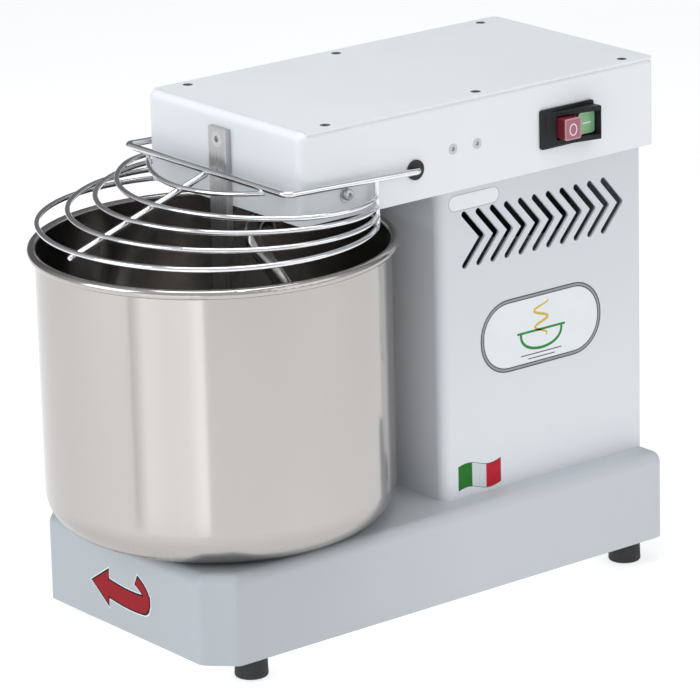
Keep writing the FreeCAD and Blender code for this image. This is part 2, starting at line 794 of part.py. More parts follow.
hub_screws = []
for x, y in hub_screw_places:
    hub_screws.append(pan_screw(point(x, y, bowl_bottom + bowl_wall), Z, 5.5, 3.3, 3.0, 12.0))
save("bowl_hub_screws", hub_screws)

bowl_bearing_inners = []
housing_high = 63.0
for z in (plate_high + 4.0, housing_high - 16.0):
    outer, inners = bearing(25.0, 52.0, 15.0, 9, 0, bowl_y, z)
    bearing_outers.append(outer)
    bowl_bearing_inners += inners
save("bowl_bearing_inner_rings", bowl_bearing_inners)
bowl_housing = cylinder(31.0, 0, bowl_y, plate_high, housing_high)
bowl_housing = bowl_housing.fuse(cylinder(58.0, 0, bowl_y, plate_high, plate_high + 8))
cutters = [cylinder(26.0, 0, bowl_y, plate_high + 4.0, plate_high + 19.0)]
cutters.append(cylinder(26.0, 0, bowl_y, housing_high - 16.0, housing_high + 1))
cutters.append(cylinder(22.0, 0, bowl_y, plate_high + 2, housing_high))
cutters.append(cylinder(14.0, 0, bowl_y, plate_high - 1, housing_high))
for i in range(4):
    turn = math.pi / 4 + i * math.pi / 2
    cutters.append(cylinder(3.0, 48.0 * math.cos(turn), bowl_y + 48.0 * math.sin(turn), 20, 60))
save("bowl_bearing_housing", [side_cut(bowl_housing, cutters)])

# ---------------------------------------------------------------- chains and sprockets
lower_places = chain_places(bowl_teeth, bowl_y, lower_teeth, drive_y, lower_links)
upper_places = chain_places(spiral_teeth, spiral_y, upper_teeth, drive_y, upper_links)
save("bowl_chain", chain(lower_places, lower_chain_height))
save("spiral_chain", chain(upper_places, upper_chain_height))


def seat_phase(places, teeth, y):
    """Angle of the roller nearest the middle of this sprocket's wrap, so that its seats meet rollers."""
    pitch = sprocket_radius(teeth)
    best = None
    for px, py in places:
        miss = abs(math.hypot(px, py - y) - pitch)
        if miss < 1e-3:
            best = math.degrees(math.atan2(py - y, px))
    return best


bowl_sprocket = sprocket(
    bowl_teeth, 0, bowl_y, lower_chain_height, 5.3, seat_phase(lower_places, bowl_teeth, bowl_y),
    19.0, 22.0, lower_chain_height - 2.65, hub_low,
)
save("bowl_sprocket", [bowl_sprocket])
lower_sprocket = sprocket(
    lower_teeth, 0, drive_y, lower_chain_height, 5.3, seat_phase(lower_places, lower_teeth, drive_y),
    7.0, 10.5, lower_chain_height - 8, lower_chain_height + 8,
)
upper_sprocket = sprocket(
    upper_teeth, 0, drive_y, upper_chain_height, 5.3, seat_phase(upper_places, upper_teeth, drive_y),
    9.0, 18.0, upper_chain_height - 7, upper_chain_height + 9,
)
save("drive_sprockets", [lower_sprocket, upper_sprocket])
spiral_sprocket = sprocket(
    spiral_teeth, 0, spiral_y, upper_chain_height, 5.3, seat_phase(upper_places, spiral_teeth, spiral_y),
    11.0, 20.0, upper_chain_height - 7, upper_chain_height + 9,
)
save("spiral_sprocket", [spiral_sprocket])

# ---------------------------------------------------------------- main shaft
foot_bearing_low = plate_high + 8.0
shaft = fuse([
    cylinder(7.0, 0, drive_y, plate_high + 2, lower_chain_height + 8.2),
    cylinder(10.0, 0, drive_y, lower_chain_height + 8.2, upper_chain_height - 7),
    cylinder(9.0, 0, drive_y, upper_chain_height - 7, upper_chain_height + 16),
])
save("main_shaft", [shaft])
main_inners = []
outer, inners = bearing(14.0, 35.0, 11.0, 8, 0, drive_y, foot_bearing_low)
bearing_outers.append(outer)
main_inners += inners
for z in (base_top + 6.0, gearbox_inner_top, head_bottom + 6.0):
    outer, inners = bearing(20.0, 42.0, 12.0, 9, 0, drive_y, z)
    bearing_outers.append(outer)
    main_inners += inners
save("main_shaft_bearing_inner_rings", main_inners)

foot_housing = cylinder(23.0, 0, drive_y, plate_high, foot_bearing_low + 12)
foot_housing = foot_housing.fuse(cylinder(44.0, 0, drive_y, plate_high, plate_high + 8))
cutters = [cylinder(17.5, 0, drive_y, foot_bearing_low, foot_bearing_low + 20)]
cutters.append(cylinder(11.0, 0, drive_y, plate_high - 1, foot_bearing_low + 1))
for i in range(4):
    turn = math.pi / 4 + i * math.pi / 2
    cutters.append(cylinder(3.0, 36.0 * math.cos(turn), drive_y + 36.0 * math.sin(turn), 20, 60))
foot_housing = side_cut(foot_housing, cutters)
head_housing = cylinder(27.0, 0, drive_y, head_bottom - 2, head_bottom + 19)
head_housing = head_housing.fuse(cylinder(50.0, 0, drive_y, head_bottom + sheet, head_bottom + sheet + 6))
cutters = [cylinder(21.0, 0, drive_y, head_bottom + 6.0, head_bottom + 18.0)]
cutters.append(cylinder(16.0, 0, drive_y, head_bottom - 10, head_bottom + 30))
cutters.append(cylinder(21.0, 0, drive_y, head_bottom + 17.0, head_bottom + 30))
for x, y in drive_flange_bolts:
    cutters.append(cylinder(3.0, x, y, head_bottom - 5, head_bottom + 30))
head_housing = side_cut(head_housing, cutters)
save("main_shaft_bearing_housings", [foot_housing, head_housing])

# ---------------------------------------------------------------- spiral and its shaft
spiral_housing_low = spiral_hub_top + 0.8
spiral_housing_high = 350.0
spiral_shaft = fuse([
    cylinder(12.5, 0, spiral_y, spiral_hub_bottom + 4, upper_chain_height - 7),
    cylinder(11.0, 0, spiral_y, upper_chain_height - 7, upper_chain_height + 14),
])
save("spiral_shaft", [spiral_shaft])
spiral_inners = []
for z in (spiral_housing_low + 6.0, spiral_housing_high - 9.5):
    width = 15.0 if z < 330 else 9.0
    outer, inners = bearing(25.0, 52.0 if width > 10 else 42.0, width, 9, 0, spiral_y, z)
    bearing_outers.append(outer)
    spiral_inners += inners
save("spiral_bearing_inner_rings", spiral_inners)
housing = cylinder(30.0, 0, spiral_y, spiral_housing_low, spiral_housing_high)
housing = housing.fuse(cylinder(50.0, 0, spiral_y, head_bottom + sheet, head_bottom + sheet + 6))
cutters = [cylinder(26.0, 0, spiral_y, spiral_housing_low + 6.0, spiral_housing_low + 21.0)]
cutters.append(cylinder(21.0, 0, spiral_y, spiral_housing_high - 9.5, spiral_housing_high + 1))
cutters.append(cylinder(19.0, 0, spiral_y, spiral_housing_low - 1, spiral_housing_high))
for x, y in spiral_flange_bolts:
    cutters.append(cylinder(3.0, x, y, head_bottom - 5, head_bottom + 30))
save("spiral_bearing_housing", [side_cut(housing, cutters)])
seal = tube(19.0, 12.55, 0, spiral_y, spiral_housing_low, spiral_housing_low + 5)
save("spiral_seal", [seal])

spiral_hub = cylinder(spiral_hub_radius, 0, spiral_y, spiral_hub_bottom, spiral_hub_top)
spiral_hub = spiral_hub.makeChamfer(2.0, edges_at(spiral_hub, spiral_hub_bottom))
# Each point of the bar: its share of the spiral's radius, its angle and its height
spiral_path = [
    (0.28, -86.0, 309.0), (0.55, -83.0, 308.5), (0.78, -79.0, 306.0), (0.94, -74.0, 300.5),
    (1.0, -67.0, 292.0), (1.0, -54.0, 279.3), (1.0, -42.0, 265.5), (1.0, -20.0, 240.0),
    (1.0, 4.0, 214.0), (1.0, 32.0, 188.0), (1.0, 64.0, 163.0), (1.0, 98.0, 142.0),
    (1.0, 134.0, 125.0), (0.99, 170.0, 113.5), (0.97, 200.0, 107.5),
]
nodes = []
for share, turn, z in spiral_path:
    x = spiral_radius * share * math.cos(math.radians(turn))
    y = spiral_y + spiral_radius * share * math.sin(math.radians(turn))
    nodes.append(point(x, y, z))
curve = Part.BSplineCurve()
curve.interpolate(nodes)
edge = curve.toShape()
path = Part.Wire([edge])
ring = Part.Wire([Part.makeCircle(spiral_bar_radius, nodes[0], edge.tangentAt(edge.FirstParameter))])
spiral_bar = path.makePipeShell([ring], True, True)
spiral_tool = spiral_hub.fuse(spiral_bar).fuse(ball(spiral_bar_radius, nodes[-1]))
spiral_tool = spiral_tool.cut(cylinder(12.5, 0, spiral_y, spiral_hub_bottom + 4, spiral_hub_top + 1))
save("spiral_tool", [spiral_tool])

# ---------------------------------------------------------------- gearbox
lay_reach = first_module * (wheel_teeth + 2) / 2 + 2.0


def gearbox_plan(inset, z0, z1):
    """Gearbox outline: a block with a round bulge over the layshaft wheel."""
    block = box(-54 + inset, 55 - inset, back(gearbox_front) + inset, back(gearbox_back) - inset, z0, z1)
    return fuse([block, cylinder(lay_reach + gearbox_wall - inset, lay_x, lay_y, z0, z1)])


floor_top = base_top + gearbox_floor
gearbox = gearbox_plan(0, base_top, gearbox_inner_top)
gearbox = gearbox.cut(gearbox_plan(gearbox_wall, floor_top, gearbox_inner_top + 1))
extras = [cylinder(26.0, 0, drive_y, floor_top, base_top + 18)]
extras.append(cylinder(22.0, lay_x, lay_y, floor_top, base_top + 18))
for x, y in gearbox_bolt_places:
    extras.append(cylinder(6.5, x, y, base_top, gearbox_inner_top))
gearbox = fuse([gearbox] + extras)
cutters = [cylinder(21.0, 0, drive_y, base_top + 6, base_top + 19)]
cutters.append(cylinder(13.0, 0, drive_y, base_top - 1, base_top + 19))
cutters.append(cylinder(17.5, lay_x, lay_y, base_top + 6, base_top + 19))
for x, y in gearbox_bolt_places:
    cutters.append(cylinder(2.5, x, y, base_top + 20, gearbox_inner_top + 1))
save("gearbox_housing", [side_cut(gearbox, cutters)])

gearbox_cover = gearbox_plan(0, gearbox_inner_top, gearbox_cover_top)
cutters = [cylinder(21.0, 0, drive_y, gearbox_inner_top - 1, gearbox_inner_top + 12)]
cutters.append(cylinder(13.0, 0, drive_y, gearbox_inner_top - 1, gearbox_cover_top + 1))
cutters.append(cylinder(17.5, lay_x, lay_y, gearbox_inner_top - 1, gearbox_inner_top + 11))
cutters.append(cylinder(24.0, 0, motor_y, gearbox_inner_top - 1, gearbox_cover_top + 1))
for x, y in gearbox_bolt_places:
    cutters.append(cylinder(2.5, x, y, gearbox_inner_top - 1, gearbox_cover_top + 1))
motor_bolt_places = []
for turn in (54.0, 126.0, 225.0, -4.0):
    a = math.radians(turn)
    motor_bolt_places.append((58.0 * math.cos(a), motor_y + 58.0 * math.sin(a)))
for x, y in motor_bolt_places:
    cutters.append(cylinder(2.5, x, y, gearbox_inner_top + 2, gearbox_cover_top + 1))
save("gearbox_cover", [side_cut(gearbox_cover, cutters)])

lay_bearing_low = base_top + 6.0
lay_bearing_high = gearbox_inner_top
layshaft = fuse([
    cylinder(7.5, lay_x, lay_y, lay_bearing_low, lay_bearing_high + 10.9),
    cylinder(10.0, lay_x, lay_y, lay_bearing_low + 11.2, lay_bearing_high - 0.2),
])
lay_turn = math.degrees(math.atan2(drive_y - lay_y, 0 - lay_x))
pinion_low = base_top + 19.0
second_pinion = gear(second_module, pinion_teeth, lay_x, lay_y, pinion_low, pinion_low + 17, lay_turn, 10.0)
save("layshaft", [layshaft])
first_low = pinion_low + 19.0
motor_turn = math.degrees(math.atan2(motor_y - lay_y, 0 - lay_x))
first_wheel = gear(first_module, wheel_teeth, lay_x, lay_y, first_low, first_low + 10, motor_turn, 10.0)
save("layshaft_gears", [second_pinion, first_wheel])
lay_inners = []
for z in (lay_bearing_low, lay_bearing_high):
    outer, inners = bearing(15.0, 35.0, 11.0, 8, lay_x, lay_y, z)
    bearing_outers.append(outer)
    lay_inners += inners
save("layshaft_bearing_inner_rings", lay_inners)
wheel_turn = lay_turn + 180 + 180.0 / wheel_teeth
second_wheel = gear(second_module, wheel_teeth, 0, drive_y, pinion_low + 1, pinion_low + 16, wheel_turn, 10.0)
save("output_gear", [second_wheel])
save_phase = motor_turn + 180 + 180.0 / pinion_teeth

# ---------------------------------------------------------------- motor
rotor_shaft = fuse([
    cylinder(6.0, 0, motor_y, first_low - 1, gearbox_cover_top + 2),
    cylinder(7.5, 0, motor_y, gearbox_cover_top + 2, frame_top + 8),
    cylinder(6.5, 0, motor_y, frame_top + 8, frame_top + 26),
])
rotor_core = tube(rotor_radius, 7.5, 0, motor_y, 186.0, 236.0)
motor_pinion = gear(first_module, pinion_teeth, 0, motor_y, first_low - 0.5, first_low + 10.5, save_phase, 6.0)
save("motor_rotor", [rotor_shaft, rotor_core, motor_pinion])
motor_inners = []
for z in (gearbox_cover_top + 3.0, frame_top - 4.0):
    outer, inners = bearing(15.0, 35.0, 11.0, 8, 0, motor_y, z)
    bearing_outers.append(outer)
    motor_inners += inners
save("motor_bearing_inner_rings", motor_inners)
save("bearing_outer_rings", bearing_outers)

flange = fuse(
    [cylinder(53.0, 0, motor_y, gearbox_cover_top, frame_bottom)]
    + [cylinder(7.0, x, y, gearbox_cover_top, frame_bottom) for x, y in motor_bolt_places]
    + [cylinder(24.0, 0, motor_y, gearbox_cover_top - 4, frame_bottom + 8)]
)
cutters = [cylinder(17.5, 0, motor_y, gearbox_cover_top + 3.0, frame_bottom + 9)]
cutters.append(cylinder(8.5, 0, motor_y, gearbox_cover_top - 5, frame_bottom))
for x, y in motor_bolt_places:
    cutters.append(cylinder(2.5, x, y, gearbox_cover_top - 1, frame_bottom + 1))
save("motor_flange", [side_cut(flange, cutters)])
frame_ring = tube(frame_radius - 2, stator_radius, 0, motor_y, frame_bottom, frame_top)
fins = []
for i in range(24):
    turn = i * 15.0
    fin = box(frame_radius - 3.5, frame_radius + 2.0, -1.0, 1.0, frame_bottom + 7, frame_top - 2)
    fin.rotate(point(0, 0, 0), Z, turn)
    fin.translate(point(0, motor_y, 0))
    fins.append(fin)
frame_shape = fuse([frame_ring] + fins)
save("motor_frame", [frame_shape])
stator = tube(stator_radius, rotor_radius + 0.5, 0, motor_y, 182.0, 240.0)
low_coil = tube(stator_radius - 2, rotor_radius + 4, 0, motor_y, 170.0, 182.0)
high_coil = tube(stator_radius - 2, rotor_radius + 4, 0, motor_y, 240.0, 252.0)
save("motor_stator", [stator, low_coil, high_coil])
shield = cylinder(frame_radius - 2, 0, motor_y, frame_top, frame_top + 8)
shield = shield.fuse(cylinder(24.0, 0, motor_y, frame_top - 6, frame_top + 8))
cutters = [cylinder(17.5, 0, motor_y, frame_top - 7, frame_top + 7)]
cutters.append(cylinder(8.5, 0, motor_y, frame_top, frame_top + 9))
save("motor_end_shield", [side_cut(shield, cutters)])
fan_parts = [tube(12.0, 6.5, 0, motor_y, frame_top + 12, frame_top + 25)]
fan_parts.append(tube(36.0, 6.5, 0, motor_y, frame_top + 12, frame_top + 14))
for i in range(8):
    blade = box(10.0, 38.0, -1.0, 1.0, frame_top + 13, frame_top + 25)
    blade.rotate(point(0, 0, 0), Z, i * 45.0)
    blade.translate(point(0, motor_y, 0))
    fan_parts.append(blade)
fan = fuse(fan_parts).cut(cylinder(6.5, 0, motor_y, frame_top, frame_top + 40))
save("motor_fan", [fan])
fan_cover = cylinder(frame_radius, 0, motor_y, frame_top, fan_cover_top)
fan_cover = fan_cover.cut(cylinder(frame_radius - 2, 0, motor_y, frame_top - 1, fan_cover_top - 2))
cutters = []
for ring_radius, count in ((14.0, 6), (26.0, 12), (38.0, 18)):
    for i in range(count):
        turn = 2 * math.pi * i / count
        cutters.append(cylinder(
            3.0, ring_radius * math.cos(turn), motor_y + ring_radius * math.sin(turn),
            fan_cover_top - 5, fan_cover_top + 1,
        ))
save("motor_fan_cover", [side_cut(fan_cover, cutters)])
gear_screws = []
for x, y in gearbox_bolt_places:
    gear_screws.append(pan_screw(point(x, y, gearbox_cover_top), Z, 4.5, 5.0, 2.5, 30.0))
for x, y in motor_bolt_places:
    gear_screws.append(pan_screw(point(x, y, frame_bottom), Z, 4.5, 5.0, 2.5, 16.0))
save("gearbox_screws", gear_screws)
cap_x = -66.0
cap_y = back(column_front + 54.0)
capacitor = cylinder(17.0, cap_x, cap_y, 156.0, 226.0)
capacitor = capacitor.makeFillet(2.0, edges_at(capacitor, 226.0))
clip = box(sheet - column_half_width, sheet - column_half_width + 4, cap_y - 14, cap_y + 14, 178.0, 202.0)
clip_ring = tube(18.5, 17.0, cap_x, cap_y, 182.0, 198.0)
clip_neck = box(sheet - column_half_width, cap_x - 17.0, cap_y - 4, cap_y + 4, 182.0, 198.0)
bracket = fuse([clip_ring, clip, clip_neck])
bracket = bracket.cut(cylinder(17.0, cap_x, cap_y, 150.0, 230.0))
save("start_capacitor", [capacitor, bracket])

# ---------------------------------------------------------------- flange screws
flange_screws = []
for x, y, z in housing_bolts:
    flange_screws.append(hex_bolt(x, y, z, 1, 10.0, 4.0, 3.0, 11.0))
for x, y in spiral_flange_bolts + drive_flange_bolts:
    flange_screws.append(hex_bolt(x, y, head_bottom + sheet + 6, 1, 10.0, 4.0, 3.0, 9.0))
save("flange_screws", flange_screws)

# ---------------------------------------------------------------- breaker bar
bar = box(-bar_width / 2, bar_width / 2, head_y0 - bar_depth, head_y0, bar_bottom, bar_top)
soft_edges = []
for edge in bar.Edges:
    upright = edge.BoundBox.ZLength > 100
    if upright and edge.CenterOfMass.y < head_y0 - 1:
        soft_edges.append(edge)
bar = bar.makeFillet(1.0, soft_edges)
for place in bar_screw_places:
    bar = bar.cut(countersink(place, Y.negative(), bar_screw_head, bar_screw_radius, 20))
save("breaker_bar", [bar])
bar_screws = []
for place in bar_screw_places:
    bar_screws.append(countersunk_screw(place, Y.negative(), bar_screw_head, bar_screw_radius, 15.0))
    nut = hexagon(place.add(point(0, bar_depth + sheet, 0)), Y, 10.0 / math.sqrt(3), 5.0)
    bar_screws.append(nut.cut(Part.makeCylinder(bar_screw_radius, 30, place, Y)))
save("breaker_bar_screws", bar_screws)

# ---------------------------------------------------------------- side screws, stops and grommets
side_screws = []
for place, direction in side_screw_places:
    side_screws.append(countersunk_screw(place, direction, 4.2, 2.3, 8.0))
save("side_screws", side_screws)
stops = []
for side in (-1, 1):
    place = point(side * (hx + 1.0), back(guard_stop), stop_height)
    stop = pan_screw(place, point(side, 0, 0), 4.4, 2.9, 2.5, 9.0)
    washer = Part.makeCylinder(6.0, 1.0, point(side * hx, back(guard_stop), stop_height), point(side, 0, 0))
    stops.append(washer.cut(Part.makeCylinder(2.5, 12, place, point(-side, 0, 0))))
    stops.append(stop)
save("guard_stop_screws", stops)
grommets = []
for side in (-1, 1):
    out = point(side, 0, 0)
    centre = point(side * hx, back(guard_pivot), guard_pivot_height)
    shape = Part.makeCylinder(7.5, 1.4, centre, out)
    shape = shape.fuse(Part.makeCylinder(6.0, sheet, centre, out.negative()))
    inner_at = centre.sub(point(side * sheet, 0, 0))
    shape = shape.fuse(Part.makeCylinder(7.5, 1.4, inner_at, out.negative()))
    bore_at = centre.sub(point(side * 10, 0, 0))
    grommets.append(shape.cut(Part.makeCylinder(guard_wire + 0.05, 20, bore_at, out)))
save("guard_grommets", grommets)

# ---------------------------------------------------------------- guard
pivot_y = back(guard_pivot)
bar_y = back(guard_bar)
rod_y = back(guard_rod)


def bent_wire(corners, bends, radius):
    """Round wire through the corners, with each inner corner bent to its own arc."""
    edges = []
    last = corners[0]
    for i in range(1, len(corners) - 1):
        here = corners[i]
        bend = bends[i - 1]
        a = corners[i - 1].sub(here).normalize()
        b = corners[i + 1].sub(here).normalize()
        half = a.getAngle(b) / 2
        trim = bend / math.tan(half)
        start = here.add(point(*a).multiply(trim))
        end = here.add(point(*b).multiply(trim))
        centre = here.add(a.add(b).normalize().multiply(bend / math.sin(half)))
        middle = here.sub(centre).normalize().multiply(bend).add(centre)
        edges.append(Part.makeLine(last, start))
        edges.append(Part.Arc(start, middle, end).toShape())
        last = end
    edges.append(Part.makeLine(last, corners[-1]))
    return round_wire(Part.Wire(edges), radius)


def strut_height(distance):
    """Height of the middle strut's axis at this distance behind the bowl axis."""
    return strut_front_height + (distance - guard_bar) * strut_slope


guard_parts = []
gx = guard_side_x
guard_parts.append(bent_wire([
    point(-hx + 14.0, pivot_y, guard_pivot_height), point(-gx, pivot_y, guard_pivot_height),
    point(-gx, bar_y, guard_bar_height), point(gx, bar_y, guard_bar_height),
    point(gx, pivot_y, guard_pivot_height), point(hx - 14.0, pivot_y, guard_pivot_height),
], [guard_elbow, guard_corner, guard_corner, guard_elbow], guard_wire))
first_height = strut_height(ring_fronts[0]) + ring_above_strut
ring_end_height = guard_bar_height - guard_wire - guard_ring_wire + 0.6
first_ring = Part.Arc(
    point(-70.0, bar_y + 1.0, ring_end_height), point(0, back(ring_fronts[0]), first_height),
    point(70.0, bar_y + 1.0, ring_end_height),
).toShape()
guard_parts.append(round_wire(Part.Wire([first_ring]), guard_ring_wire))
rod_foot = 0.0
for i in range(1, 5):
    in_step = ring_bulges[i - 1]
    half_width = gx + in_step
    widest = ring_widest[i - 1]
    z = strut_height(ring_fronts[i]) + ring_above_strut
    rise = guard_rod - widest
    side_radius = (in_step ** 2 + rise ** 2) / (2 * in_step)
    depth = widest - ring_fronts[i]
    offset = half_width - side_radius
    shift = (offset ** 2 - (depth - side_radius) ** 2) / (2 * (depth - side_radius))
    front_radius = depth + shift
    tilt = math.atan2(shift, offset)
    join_x = offset + side_radius * math.cos(tilt)
    join_y = back(widest) - side_radius * math.sin(tilt)
    half_turn = tilt / 2
    side_x = offset + side_radius * math.cos(half_turn - 0.2)
    side_y = back(widest) - side_radius * math.sin(half_turn - 0.2)
    end_x = gx
    end_y = rod_y
    if i == 4:
        end_turn = math.atan2(rise, gx - offset) - guard_corner / side_radius
        end_x = offset + side_radius * math.cos(end_turn)
        end_y = back(widest) + side_radius * math.sin(end_turn)
    left_side = Part.Arc(point(-end_x, end_y, z), point(-side_x, side_y, z), point(-join_x, join_y, z)).toShape()
    front = Part.Arc(
        point(-join_x, join_y, z), point(0, back(ring_fronts[i]), z), point(join_x, join_y, z),
    ).toShape()
    right_side = Part.Arc(point(join_x, join_y, z), point(side_x, side_y, z), point(end_x, end_y, z)).toShape()
    guard_parts.append(round_wire(Part.Wire([left_side, front, right_side]), guard_ring_wire))
    rod_foot = z
rod_top = guard_pivot_height + side_bar_slope * (guard_pivot - guard_rod)
for side in (-1, 1):
    top = point(side * gx, rod_y, rod_top)
    foot = point(side * gx, rod_y, rod_foot)
    ring_end = point(side * end_x, end_y, rod_foot)
    run = ring_end.sub(foot).normalize().multiply(guard_corner)
    start = foot.add(run)
    lift = point(0, 0, guard_corner)
    middle = foot.add(point(*run).add(lift).multiply(1 - math.sqrt(0.5)))
    edges = [Part.makeLine(top, foot.add(lift)), Part.Arc(foot.add(lift), middle, start).toShape()]
    guard_parts.append(round_wire(Part.Wire(edges), guard_ring_wire + 0.25))
    guard_parts.append(ball(guard_ring_wire + 0.25, start))
strut_back = point(0, bar_y, strut_height(guard_bar))
strut_front = point(0, back(ring_fronts[-1] - 1.5), strut_height(ring_fronts[-1] - 1.5))
guard_parts.append(rod(guard_wire, strut_back, strut_front))
guard_parts.append(ball(guard_wire, strut_back))
guard_parts.append(ball(guard_wire, strut_front))
guard = guard_parts[0]
for piece in guard_parts[1:]:
    guard = guard.fuse(piece)
save("guard", [guard])

cam = Part.makeCylinder(14.0, 5.0, point(hx - 12.0, pivot_y, guard_pivot_height), X)
cam = cam.cut(Part.makeCylinder(guard_wire, 12, point(hx - 16.0, pivot_y, guard_pivot_height), X))
cam_flat = box(hx - 14, hx - 4, pivot_y + 10.0, pivot_y + 20, guard_pivot_height - 20, guard_pivot_height + 20)
cam = cam.cut(cam_flat)
save("guard_cam", [cam])
micro = box(hx - 16.0, hx - 5.0, pivot_y + 18.0, pivot_y + 40.0, guard_pivot_height - 11, guard_pivot_height + 5)
plunger = Part.makeCylinder(1.5, 4.0, point(hx - 10.0, pivot_y + 14.5, guard_pivot_height), Y)
bracket = box(
    hx - 5.0, hx - sheet, pivot_y + 16.0, pivot_y + 67.0, guard_pivot_height - 12, guard_pivot_height + 17,
)
for place, direction in side_screw_places:
    bracket = bracket.cut(Part.makeCylinder(2.3, 20, place, direction.negative()))
save("guard_microswitch", [fuse([micro, plunger]), bracket])

# ---------------------------------------------------------------- switch
sw0 = back(switch_front)
sw1 = back(switch_back)
middle_height = (switch_low + switch_high) / 2


def side_block(x0, x1, y0, y1, z0, z1, radius):
    """Block on the right-hand side with its four X-wise edges rounded."""
    block = box(x0, x1, y0, y1, z0, z1)
    long_edges = []
    for e in block.Edges:
        if e.BoundBox.XLength > (x1 - x0) - 0.01:
            long_edges.append(e)
    return block.makeFillet(radius, long_edges)


flange_plate = side_block(hx, hx + 2.0, sw0, sw1, switch_low, switch_high, 2.0)
ramp = Part.makePolygon([
    point(hx + 1.0, sw0 + 6.0, switch_low + 1.6),
    point(hx + 2.0, sw0 + 6.0, switch_low + 1.6),
    point(hx + shroud_reach, sw1 - 0.8, switch_low + 1.6),
    point(hx + 1.0, sw1 - 0.8, switch_low + 1.6),
    point(hx + 1.0, sw0 + 6.0, switch_low + 1.6),
])
shroud = Part.Face(ramp).extrude(point(0, 0, button_high + 4.6 - switch_low - 1.6))
shroud = shroud.makeFillet(0.8, [e for e in shroud.Edges if e.BoundBox.XMax > hx + 2.5])
stop_y0 = sw0 + 14.6
stop_y1 = sw0 + 30.4
start_y0 = sw0 + 34.0
start_y1 = sw0 + 49.4
well = side_block(
    hx - 1, hx + shroud_reach + 3, stop_y0 - 0.8, start_y1 + 0.6, button_low - 1.0, button_high + 1.0, 1.0,
)
divider = box(hx, hx + 4.0, stop_y1 + 0.8, start_y0 - 0.8, button_low - 1.2, button_high + 1.2)
bezel = fuse([flange_plate.fuse(shroud).cut(well), divider])
save("switch_bezel", [bezel])
body = box(hx - 34, hx, sw0 + 4.2, sw1 - 2.0, switch_low + 3.2, switch_high - 3.2)
for y0, y1 in ((stop_y0, stop_y1), (start_y0, start_y1)):
    body = body.cut(box(hx - 9, hx + 1, y0 - 0.1, y1 + 0.1, button_low - 0.1, button_high + 0.1))
terminals = []
for y in (sw0 + 14, (sw0 + sw1) / 2, sw1 - 14):
    terminals.append(box(hx - 44, hx - 34, y - 3.0, y + 3.0, middle_height - 0.5, middle_height + 0.5))
save("switch_body", [fuse([body] + terminals)])
stop_button = side_block(hx - 6, hx + stop_reach, stop_y0, stop_y1, button_low, button_high, 2.0)
save("stop_button", [stop_button])
start_button = side_block(hx - 6, hx + start_reach, start_y0, start_y1, button_low, button_high, 2.0)
save("start_button", [start_button])

# ---------------------------------------------------------------- cable gland
gy = back(column_rear)
gland_out = Part.makeCylinder(10.5, 5.0, point(gland_place.x, gy + 1.5, gland_place.z), Y)
gland_dome = Part.makeCone(10.0, 7.5, 5.0, point(gland_place.x, gy + 6.5, gland_place.z), Y)
gland_stem = Part.makeCylinder(8.0, 12.0, point(gland_place.x, gy - 8.5, gland_place.z), Y)
gland = fuse([gland_out, gland_dome, gland_stem])
gland = gland.cut(Part.makeCylinder(4.0, 40, point(gland_place.x, gy - 20, gland_place.z), Y))
gland_nut = hexagon(point(gland_place.x, gy - 5.0, gland_place.z), Y, 12.0, 5.0)
gland_nut = gland_nut.cut(Part.makeCylinder(8.0, 20, point(gland_place.x, gy - 8, gland_place.z), Y))
save("cable_gland", [gland, gland_nut])
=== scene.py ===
import math

import bmesh
import bpy
import numpy as np
from mathutils import Matrix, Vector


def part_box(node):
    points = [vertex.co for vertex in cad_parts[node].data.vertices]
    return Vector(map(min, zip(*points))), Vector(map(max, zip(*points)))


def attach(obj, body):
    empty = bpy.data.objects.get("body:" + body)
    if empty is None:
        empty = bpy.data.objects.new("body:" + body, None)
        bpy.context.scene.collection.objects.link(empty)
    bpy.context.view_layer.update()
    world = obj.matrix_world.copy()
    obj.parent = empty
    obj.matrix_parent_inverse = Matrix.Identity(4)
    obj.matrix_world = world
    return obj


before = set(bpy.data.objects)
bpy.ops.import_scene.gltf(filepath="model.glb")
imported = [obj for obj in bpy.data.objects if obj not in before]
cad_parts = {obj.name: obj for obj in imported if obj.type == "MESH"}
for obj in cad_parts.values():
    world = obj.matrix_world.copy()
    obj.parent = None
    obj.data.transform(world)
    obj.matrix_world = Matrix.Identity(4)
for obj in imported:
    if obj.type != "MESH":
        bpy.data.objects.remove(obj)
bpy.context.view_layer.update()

# ---- Casings: base, column, head and its cover plate
# Folded steel sheet, welded at the corners, ground smooth and coated with white baked powder, which
# leaves a fine orange-peel surface with a soft sheen. The column and base are painted greyer than the
# head as painted shade: the column more so towards its top, under the head, and the base greyer again,
# more so towards its front.


class Value:
    """A number that varies over a surface; arithmetic on it adds Math nodes to its finish."""

    def __init__(self, finish, socket):
        self.finish = finish
        self.socket = socket

    def _math(self, operation, a, b=0.0):
        return self.finish.node("ShaderNodeMath", {"operation": operation}, {0: a, 1: b})[0]

    def __add__(self, other):
        return self._math("ADD", self, other)

    def __sub__(self, other):
        return self._math("SUBTRACT", self, other)

    def __rsub__(self, other):
        return self._math("SUBTRACT", other, self)

    def __mul__(self, other):
        return self._math("MULTIPLY", self, other)

    def __truediv__(self, other):
        return self._math("DIVIDE", self, other)

    def __pow__(self, other):
        return self._math("POWER", self, other)

    def __lt__(self, other):
        return self._math("LESS_THAN", self, other)

    def __gt__(self, other):
        return self._math("GREATER_THAN", self, other)

    def __abs__(self):
        return self._math("ABSOLUTE", self)

    __radd__ = __add__
    __rmul__ = __mul__


